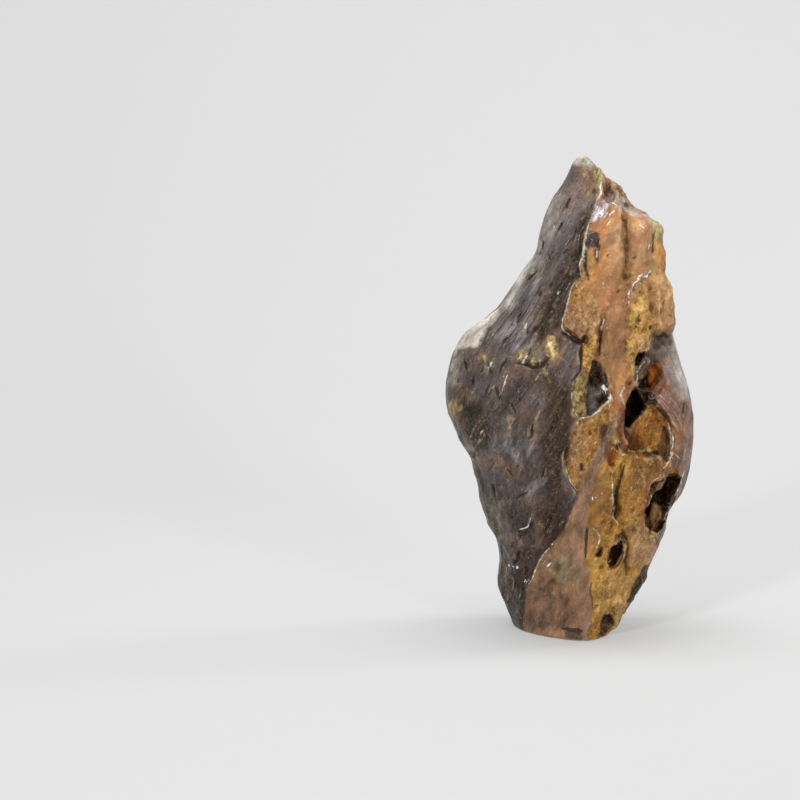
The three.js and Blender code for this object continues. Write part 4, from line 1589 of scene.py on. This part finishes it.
# %% Steps, mixes and values
def step(value, low, high, start=0.0, end=1.0):
    """start below low, end above high, and a smooth step between."""
    node = nodes.new("ShaderNodeMapRange")
    node.interpolation_type = "SMOOTHSTEP"
    for socket, number in zip(node.inputs[1:5], (low, high, start, end)):
        socket.default_value = number
    feed(node.inputs[0], value)
    return node.outputs[0]


def mixed(share, first, second, blend="MIX"):
    """The first colour where the share is 0, and the second where it is 1."""
    node = nodes.new("ShaderNodeMix")
    node.data_type = "RGBA"
    node.blend_type = blend
    feed(node.inputs["Factor"], share)
    feed(node.inputs[6], first)
    feed(node.inputs[7], second)
    return node.outputs[2]


def ramp(grain, *stops):
    """A colour for each value of the grain, blended between the stops."""
    node = nodes.new("ShaderNodeValToRGB")
    bar = node.color_ramp
    while len(bar.elements) < len(stops):
        bar.elements.new(0.5)
    for element, (position, tone) in zip(bar.elements, stops):
        element.position = position
        element.color = (*tone, 1)
    feed(node.inputs["Fac"], grain)
    return node.outputs["Color"]


def value_of(name):
    """A value that is written on the mesh."""
    node = nodes.new("ShaderNodeAttribute")
    node.attribute_name = name
    return node.outputs["Fac"]


print("node helpers ready")

# %% [markdown]
# ## Grain in the finish
# On the real stone the colour changes in broad clouds, in streaks that run with the
# gashes, and in specks. Noise is read at the stone's own places, so it goes all the
# way round without a seam. Where bark or flutes have a direction, the noise is
# stretched and tilted to run along them.

# %% Noise at the stone's own places
body_place = nodes.new("ShaderNodeTexCoord").outputs["Object"]
GASH_TILT = math.radians(30)       # gashes lean this far from upright
STREAK_TILT = math.radians(18)
FLUTE_TILT = math.radians(12)
SEED_MOVE = (0.137, 0.071, 0.093)  # m, how far each seed moves the noise


def placed(size, seed, tilt):
    """Places measured in units of size mm, with the third axis leaning by the tilt."""
    node = nodes.new("ShaderNodeMapping")
    node.vector_type = "TEXTURE"
    node.inputs["Location"].default_value = [side * seed for side in SEED_MOVE]
    node.inputs["Rotation"].default_value = (0, tilt, 0)
    node.inputs["Scale"].default_value = [side * MM for side in three(size)]
    links.new(body_place, node.inputs["Vector"])
    return node.outputs["Vector"]


def cloud(size, seed, detail=3.0, roughness=0.6, twist=0.0, tilt=GASH_TILT):
    """Soft noise that changes over about size mm."""
    node = nodes.new("ShaderNodeTexNoise")
    node.inputs["Scale"].default_value = 1
    node.inputs["Detail"].default_value = detail
    node.inputs["Roughness"].default_value = roughness
    node.inputs["Distortion"].default_value = twist
    links.new(placed(size, seed, tilt), node.inputs["Vector"])
    return node.outputs["Fac"]


print("tilts:", [round(math.degrees(tilt)) for tilt in (GASH_TILT, STREAK_TILT, FLUTE_TILT)])

# %% Grains from broad to fine
# size in mm, seed, layers of detail, and how strong the finer layers are
broad = cloud(28, 1, 2)
tint = cloud(20, 2, 4, 0.6)
middle = cloud(8, 3, 7, 0.72)
small = cloud(3.0, 4, 5, 0.7)
fine = cloud(1.1, 5, 3, 0.7)
fleck = cloud((1.4, 2.5, 3.2), 8, 2)
crumb = cloud((0.8, 0.8, 1.1), 18, 2, 0.6)
print("even grains, nodes so far:", len(nodes))

# %% Grains that run along the stone
# the same, and how far the noise is twisted
standing = cloud((5, 5, 10), 10, 7, 0.74, 0.4, tilt=FLUTE_TILT)
streak = cloud((2.0, 4, 9), 6, 5, 0.66, 0.3, tilt=STREAK_TILT)
wash = cloud((12, 12, 20), 12, 3, 0.55, 0.2)
smear = cloud((4.0, 8, 20), 13, 5, 0.62, 0.15)
hair = cloud((1.1, 3, 9), 14, 3, 0.6)
drip = cloud((4, 6, 15), 15, 5, 0.6, 0.8, tilt=0)
fibre = cloud((1.8, 6, 26), 17, 2, 0.5)
print("grain nodes:", len(nodes))

# %% [markdown]
# ## Dark skin and ochre flesh
# Two grounds lie under all the patches. The skin is nearly black towards the foot and
# greyer at the tip, with red and olive clouds between. The flesh is yellower low
# down and redder above. A ramp over the clouds mixes such hues more softly than a
# list of patches could. One ragged edge then parts the skin from the flesh.

# %% Patch helpers
ragged = plus(times(plus(small, -0.5), 3.0), times(plus(fine, -0.5), 1.5))
DARK_BELOW, LIGHT_ABOVE = 0.36, 0.64


def patch(name, soft=0.35, raggedness=1.0):
    """1 inside a stain and 0 outside, with a ragged edge."""
    return step(plus(value_of(name), times(ragged, raggedness)), -soft, soft)


def two_tone(dark, light, grain):
    """A dark colour where the grain is low, and a light one where it is high."""
    return mixed(step(grain, DARK_BELOW, LIGHT_ABOVE), dark, light)


print("patch helpers ready")

# %% Dark skin
RED_CLOUD = (0.105, 0.064, 0.043)
OLIVE_CLOUD = (0.074, 0.070, 0.060)
# the skin turns nearly black towards the foot
NEAR_BLACK_FOOT = (0.014, 0.006, 0.002)
GREY_TIP = (0.168, 0.130, 0.108)

height_up = nodes.new("ShaderNodeSeparateXYZ")
links.new(body_place, height_up.inputs["Vector"])
height = plus(height_up.outputs["Z"], times(plus(tint, -0.5), 0.08))
bark = ramp(
    broad,
    (0.34, (0.110, 0.073, 0.057)),
    (0.44, (0.078, 0.053, 0.046)),
    (0.52, (0.070, 0.053, 0.049)),
    (0.60, (0.082, 0.066, 0.064)),
    (0.70, (0.098, 0.075, 0.065)),
)
bark = mixed(step(tint, 0.50, 0.62, 0, 0.6), bark, RED_CLOUD)
bark = mixed(step(tint, 0.46, 0.36, 0, 0.5), bark, OLIVE_CLOUD)
bark = mixed(step(height, 0.02, 0.12, 0.97, 0), bark, NEAR_BLACK_FOOT)
bark = mixed(step(height, 0.19, 0.25, 0, 0.5), bark, GREY_TIP)
print("skin, nodes so far:", len(nodes))

# %% Ochre flesh
PALE_FOOT = (0.50, 0.29, 0.065)
FOX_CLOUD = (0.38, 0.145, 0.028)
RUST_WASH = (0.36, 0.125, 0.034)
AMBER_SMEAR = (0.40, 0.165, 0.050)
STRAW_MOTTLE = (0.54, 0.33, 0.09)

upper = ramp(
    tint,
    (0.36, (0.43, 0.225, 0.062)),
    (0.46, (0.34, 0.160, 0.050)),
    (0.54, (0.30, 0.138, 0.052)),
    (0.64, (0.27, 0.130, 0.060)),
)
lower = ramp(
    tint,
    (0.36, (0.40, 0.22, 0.036)),
    (0.46, (0.34, 0.170, 0.027)),
    (0.54, (0.28, 0.130, 0.024)),
    (0.66, (0.26, 0.122, 0.034)),
)
lower = mixed(step(height, 0.02, 0.07, 0.8, 0), lower, PALE_FOOT)
flesh = mixed(step(height, 0.11, 0.16), lower, upper)
flesh = mixed(step(broad, 0.50, 0.62, 0, 0.4), flesh, FOX_CLOUD)
flesh = mixed(step(wash, 0.56, 0.66, 0, 0.55), flesh, RUST_WASH)
flesh = mixed(step(smear, 0.56, 0.68, 0, 0.5), flesh, AMBER_SMEAR)
flesh = mixed(step(middle, 0.54, 0.66, 0, 0.5), flesh, STRAW_MOTTLE)
is_bark = patch("bark")
colour = mixed(is_bark, flesh, bark)
print("skin and flesh, nodes so far:", len(nodes))

# %% [markdown]
# ## Patches of colour
# Minerals and water leave patches that differ only in their pair of colours, in
# the grain that mottles them, and in how hard their edge is. That makes them a
# table, with one row for each stain. Later rows lie over earlier ones, as stains do.

# %% Patches
PATCHES = [
    # stain, dark and light colour, grain, how strongly it covers, how soft its edge is
    # blue: partly painted sheen on the skin
    ("blue", (0.080, 0.070, 0.069), (0.195, 0.178, 0.176), smear, 0.75, 4.5),
    ("tan", (0.120, 0.082, 0.058), (0.240, 0.172, 0.124), small, 0.8, 2.4),
    ("mauve", (0.100, 0.042, 0.028), (0.195, 0.088, 0.056), smear, 0.9, 1.6),
    ("brown", (0.23, 0.108, 0.048), (0.34, 0.168, 0.072), drip, 0.8, 3.0),
    ("ochre", (0.27, 0.130, 0.035), (0.42, 0.215, 0.055), small, 0.9, 0.5),
    # amber: a lighter ochre, painted light in the sunk bowl and on the ledge
    ("amber", (0.32, 0.125, 0.020), (0.46, 0.220, 0.045), wash, 0.9, 1.0),
    ("gold", (0.34, 0.150, 0.025), (0.58, 0.340, 0.080), small, 0.85, 2.2),
    ("toffee", (0.20, 0.080, 0.009), (0.36, 0.150, 0.022), smear, 0.7, 4.0),
    # honey: partly painted light on brighter faces of the front
    ("honey", (0.40, 0.200, 0.050), (0.66, 0.37, 0.110), middle, 0.7, 3.2),
    ("sun", (0.36, 0.185, 0.030), (0.64, 0.385, 0.090), middle, 0.6, 3.0),
    ("fox", (0.34, 0.130, 0.026), (0.54, 0.240, 0.070), middle, 0.5, 3.2),
    ("fawn", (0.26, 0.140, 0.068), (0.44, 0.255, 0.125), middle, 0.7, 4.0),
    ("apricot", (0.42, 0.215, 0.088), (0.66, 0.375, 0.160), middle, 0.75, 4.0),
    # loam: dark brown, painted shade in the flute's groove and the bowl's corner
    ("loam", (0.12, 0.060, 0.018), (0.24, 0.140, 0.050), middle, 0.6, 3.0),
    ("plate", (0.185, 0.098, 0.054), (0.280, 0.155, 0.084), drip, 0.95, 0.3),
    ("rose", (0.120, 0.048, 0.026), (0.280, 0.122, 0.068), wash, 0.9, 1.6),
    ("wine", (0.100, 0.024, 0.006), (0.270, 0.078, 0.020), wash, 0.75, 2.2),
    ("plum", (0.055, 0.030, 0.024), (0.150, 0.088, 0.070), smear, 0.7, 2.4),
    ("rosy", (0.170, 0.100, 0.068), (0.250, 0.150, 0.110), wash, 0.5, 3.0),
    ("rust", (0.075, 0.038, 0.025), (0.180, 0.090, 0.055), smear, 0.65, 4.0),
    ("moss", (0.085, 0.068, 0.036), (0.230, 0.190, 0.115), smear, 0.7, 4.0),
    # painted shade, and on the back also random dark smears
    ("dusk", (0.010, 0.004, 0.001), (0.042, 0.022, 0.011), smear, 0.92, 3.4),
    ("olive", (0.10, 0.075, 0.028), (0.28, 0.205, 0.07), small, 0.9, 0.8),
    ("lichen", (0.17, 0.135, 0.045), (0.42, 0.36, 0.17), middle, 0.85, 1.2),
    # slate: grey colour, partly painted shade on the right rim and under the lobe
    ("slate", (0.028, 0.019, 0.016), (0.115, 0.080, 0.066), wash, 0.9, 1.4),
    ("ink", (0.010, 0.009, 0.010), (0.085, 0.074, 0.068), middle, 0.95, 0.4),
    ("orange", (0.30, 0.060, 0.005), (0.74, 0.23, 0.028), middle, 0.95, 0.8),
    ("umber", (0.05, 0.022, 0.009), (0.13, 0.060, 0.026), small, 0.8, 0.5),
    ("shade", (0.025, 0.016, 0.011), (0.08, 0.048, 0.032), small, 0.85, 0.8),
    # black: dark colour of the holes and painted shade inside them
    ("black", (0.012, 0.005, 0.002), (0.090, 0.034, 0.012), middle, 0.95, 0.6),
    # the next two rows are painted sheen: pale patches and a soft haze where the wet skin mirrors
    # the room
    ("pale", (0.37, 0.33, 0.275), (0.48, 0.44, 0.375), broad, 0.92, 1.2),
    ("mist", (0.27, 0.24, 0.21), (0.44, 0.41, 0.37), wash, 0.85, 5.5),
    ("ash", (0.32, 0.25, 0.21), (0.46, 0.38, 0.32), smear, 0.85, 2.0),
    # lilac: partly painted highlight on glossy facets and ridges
    ("lilac", (0.22, 0.15, 0.15), (0.70, 0.62, 0.68), smear, 0.85, 0.9),
    ("straw", (0.20, 0.13, 0.045), (0.42, 0.31, 0.12), small, 0.85, 1.2),
]
NEARLY_CREAM = (0.68, 0.55, 0.32)  # the hearts of the straw spots
SOFT_EDGE = 2.4                    # an edge softer than this is hardly ragged

for name, dark, light, speckle, cover, soft in PATCHES:
    raggedness = 0.4 if soft > SOFT_EDGE else 1.0
    share = times(patch(name, soft, raggedness), cover)
    colour = mixed(share, colour, two_tone(dark, light, speckle))
heart = step(plus(value_of("straw"), times(ragged, 1.2)), 1.5, 3.4, 0, 0.8)
colour = mixed(heart, colour, NEARLY_CREAM)
painted = {row[0] for row in PATCHES}
assert painted <= set(stain_names)
print("patches painted:", len(PATCHES), "stains without a patch:", set(stain_names) - painted)

# %% [markdown]
# ## Light and dark of the grain
# Up close no patch is even. The skin is brushed light and dark along its gashes, the
# flesh is dappled, and worn plates are only clouded. Multiplying the colour by such
# a shading keeps each hue, where mixing in grey would make all of them dull.

# %% Light and dark
calm = value_of("calm")
even = times(calm, 0.8)
low_down = step(height_up.outputs["Z"], 0.16, 0.10)

on_bark = times(step(wash, 0.34, 0.66, 0.70, 1.4), step(smear, 0.34, 0.66, 0.84, 1.18))
on_bark = times(on_bark, step(hair, 0.36, 0.64, 0.93, 1.08))
runs = mixed(low_down, (1.0, 1.0, 1.0), step(drip, 0.36, 0.64, 0.72, 1.35))
on_bark = times(on_bark, runs)
on_bark = times(on_bark, step(fleck, 0.32, 0.40, 0.5, 1.0))

dapple = plus(times(standing, 0.45), plus(times(small, 0.35), times(fine, 0.2)))
on_flesh = times(step(dapple, 0.38, 0.62, 0.68, 1.30), step(streak, 0.36, 0.62, 0.84, 1.12))
on_calm = times(step(wash, 0.34, 0.66, 0.82, 1.2), step(smear, 0.34, 0.66, 0.80, 1.22))
on_calm = times(on_calm, step(fine, 0.60, 0.74, 1.0, 0.8))
on_flesh = plus(times(on_flesh, minus(1.0, even)), times(on_calm, even))

shading = plus(times(on_bark, is_bark), times(on_flesh, minus(1.0, is_bark)))
colour = mixed(1.0, colour, shading, "MULTIPLY")
print("shaded, nodes so far:", len(nodes))

# %% [markdown]
# ## Threads, specks and crumbs
# Fine dark fibres run through the skin, and pale threads and scratches through the
# flesh. Rough rock is also strewn with dark and light crumbs, and pale specks stand
# in as painted glints. Lines come from the places where a stretched grain crosses one
# level, and crumbs from its extremes.

# %% Threads
FIBRE_SHADE = (0.30, 0.24, 0.22)
SCRATCH_SHADE = (0.12, 0.08, 0.06)
PALE_THREAD = (0.52, 0.42, 0.30)


def contour(grain, level, width):
    """Thin lines where a grain crosses a level, like scratches and fine veins."""
    gap = math_of("ABSOLUTE", plus(grain, -level))
    return step(gap, width, 0.3 * width)


on_fibre = times(contour(fibre, 0.47, 0.025), times(is_bark, step(middle, 0.44, 0.54)))
colour = mixed(times(on_fibre, 0.6), colour, FIBRE_SHADE, "MULTIPLY")
scratch = contour(standing, 0.40, 0.010)
colour = mixed(times(scratch, 0.5), colour, SCRATCH_SHADE, "MULTIPLY")
thread = plus(times(contour(fibre, 0.56, 0.012), is_bark), contour(standing, 0.57, 0.008))
thread = times(thread, step(middle, 0.44, 0.60))
colour = mixed(times(thread, 0.35), colour, PALE_THREAD)
print("threads, nodes so far:", len(nodes))

# %% Specks and crumbs
PAINTED_GLINT_SPECK = (0.55, 0.45, 0.30)
CRUMB_SHADE = (0.36, 0.27, 0.20)
BRIGHT_CRUMB = (0.80, 0.60, 0.34)

# pale specks: painted glints strewn over the stone
glint_specks = times(step(fleck, 0.64, 0.70), step(middle, 0.48, 0.60))
colour = mixed(times(glint_specks, 0.4), colour, PAINTED_GLINT_SPECK)
crumbly = plus(times(is_bark, -0.7), plus(1.0, times(calm, -0.7)))
dark_crumb = times(step(crumb, 0.43, 0.36), crumbly)
colour = mixed(times(dark_crumb, 0.62), colour, CRUMB_SHADE, "MULTIPLY")
light_crumb = times(times(step(crumb, 0.58, 0.66), crumbly), step(small, 0.44, 0.58))
colour = mixed(times(light_crumb, 0.45), colour, BRIGHT_CRUMB)
print("strewn, nodes so far:", len(nodes))

# %% [markdown]
# ## Wear and crevices
# Handling and water pale the edges that stand out, and a painted highlight lies on
# them too. Painted shade lies in what is deep and in narrow creases.
# The mesh knows how far each point stands out from its surroundings, near and far.
# Those two measures are used, since a shader's own edge finder is slow and would
# not survive an export.

# %% Wear and crevices
# pale edges: wear and painted highlight; the two shades below are painted shade
WEAR_AND_EDGE_HIGHLIGHT = (0.60, 0.44, 0.24)
DEEP_SHADE = (0.20, 0.12, 0.08)
NARROW_SHADE = (0.16, 0.10, 0.07)

stands_out = value_of("edge_fine")
# wear and painted highlight on edges that stand out, painted shade where it lies deep and in narrow
# creases
worn = step(plus(stands_out, times(plus(small, -0.5), 0.4)), 0.12, 0.45, 0, 0.3)
deep = step(value_of("edge_broad"), -0.3, -2.0, 0, 0.4)
narrow = step(plus(stands_out, times(plus(fine, -0.5), 0.2)), -0.08, -0.45, 0, 0.6)
colour = mixed(worn, colour, WEAR_AND_EDGE_HIGHLIGHT, "SCREEN")
colour = mixed(deep, colour, DEEP_SHADE, "MULTIPLY")
colour = mixed(narrow, colour, NARROW_SHADE, "MULTIPLY")
print("worn, nodes so far:", len(nodes))

# %% [markdown]
# ## Fine lines
# Veins, cracks and glints are thinner than the mesh's own points can hold as
# patches. For each point the maps keep how far it lies beside the nearest line, and
# half that line's width, so the shader can draw a sharp edge between the points.
# A pale lip beside a gash catches the light.

# %% Fine lines
line_side = value_of("line_side")
line_half = value_of("line_half")
within = minus(line_half, math_of("ABSOLUTE", line_side))
on_line = step(plus(within, times(ragged, 0.25)), -0.12, 0.12)
broken = step(middle, 0.40, 0.48, 0.25, 1.0)
BROKEN_KINDS = ("lilac", "glint", "cream")
PALE_LIP = (0.36, 0.26, 0.15)
LINES = [
    # kind, dark and light colour, how strongly it covers
    ("umber", (0.050, 0.022, 0.009), (0.120, 0.055, 0.022), 0.75),
    ("crack", (0.010, 0.007, 0.006), (0.040, 0.026, 0.020), 0.85),
    # lilac lines: painted highlights on the flank and the ridges
    ("lilac", (0.30, 0.20, 0.19), (0.66, 0.54, 0.56), 0.6),
    ("straw", (0.12, 0.080, 0.040), (0.40, 0.29, 0.15), 0.7),
    # cream lines are partly veins and partly painted highlights; glints are painted highlights
    ("cream", (0.34, 0.24, 0.12), (0.95, 0.90, 0.74), 0.9),
    ("glint", (0.70, 0.62, 0.60), (1.0, 0.98, 0.97), 0.95),
]

for kind, dark, light, cover in LINES:
    share = times(times(on_line, value_of("line_" + kind)), cover)
    if kind in BROKEN_KINDS:
        share = times(share, broken)
    colour = mixed(share, colour, two_tone(dark, light, small))
beside = minus(line_side, line_half)
lip = times(times(step(beside, 0.0, 0.25), step(beside, 1.0, 0.6)), step(line_half, 0.0, 0.15))
lip = times(times(lip, value_of("line_lip")), step(small, 0.46, 0.54))
colour = mixed(lip, colour, PALE_LIP)
links.new(colour, shader.inputs["Base Color"])
print("kinds of line:", len(LINES))

# %% [markdown]
# ## Gloss and fine relief
# The real stone looks wet. Light lies broadly on it and breaks in small sharp
# glints. One low roughness would give the glints alone, so a thin clear coat is laid
# over a duller ground. Relief finer than the mesh is a bump: brushed on the skin,
# grainy on the flesh and faint on worn plates. Cracks are pressed in, and cream
# chips stand up.

# %% Gloss
gloss = plus(step(small, 0.35, 0.65, 0.18, 0.36), times(is_bark, 0.04))
links.new(gloss, shader.inputs["Roughness"])
shader.inputs["Specular IOR Level"].default_value = 0.10
shader.inputs["Coat Weight"].default_value = 0.18
shader.inputs["Coat Roughness"].default_value = 0.06
print("gloss set, nodes so far:", len(nodes))

# %% Fine relief
rough_share = step(plus(calm, patch("pale", 2.0, 0.3)), 0.0, 1.8, 1.0, 0.12)
brushed = plus(times(wash, 2.4), times(smear, 1.2))
brushed = plus(brushed, plus(times(small, 0.9), times(hair, 0.8)))
bark_bump = times(brushed, rough_share)
grainy = plus(times(standing, 2.4), plus(times(small, 1.0), times(fine, 0.6)))
flesh_bump = times(grainy, rough_share)
crumbling = times(times(patch("black", 1.5, 0.0), small), 5.0)
flesh_bump = plus(flesh_bump, crumbling)

bump_height = nodes.new("ShaderNodeMix")
bump_height.data_type = "FLOAT"
feed(bump_height.inputs[0], is_bark)
feed(bump_height.inputs[2], flesh_bump)
feed(bump_height.inputs[3], bark_bump)
pressed = times(on_line, plus(value_of("line_crack"), value_of("line_umber")))
lifted = times(on_line, plus(value_of("line_cream"), value_of("line_glint")))
drawn = plus(times(pressed, -0.6), times(lifted, 0.35))

bump = nodes.new("ShaderNodeBump")
bump.inputs["Strength"].default_value = 1.0
bump.inputs["Distance"].default_value = MM
links.new(plus(bump_height.outputs[0], drawn), bump.inputs["Height"])
links.new(bump.outputs["Normal"], shader.inputs["Normal"])
links.new(bump.outputs["Normal"], shader.inputs["Coat Normal"])
stone.data.materials.clear()
stone.data.materials.append(finish)
print("finish nodes:", len(nodes))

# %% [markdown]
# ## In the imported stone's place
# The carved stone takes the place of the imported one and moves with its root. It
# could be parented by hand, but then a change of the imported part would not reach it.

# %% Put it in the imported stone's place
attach(stone, "root")
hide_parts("stone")
print("in the packed stone's place:", stone.name)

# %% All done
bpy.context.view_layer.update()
print("all done in", round(time.time() - started, 1), "s")
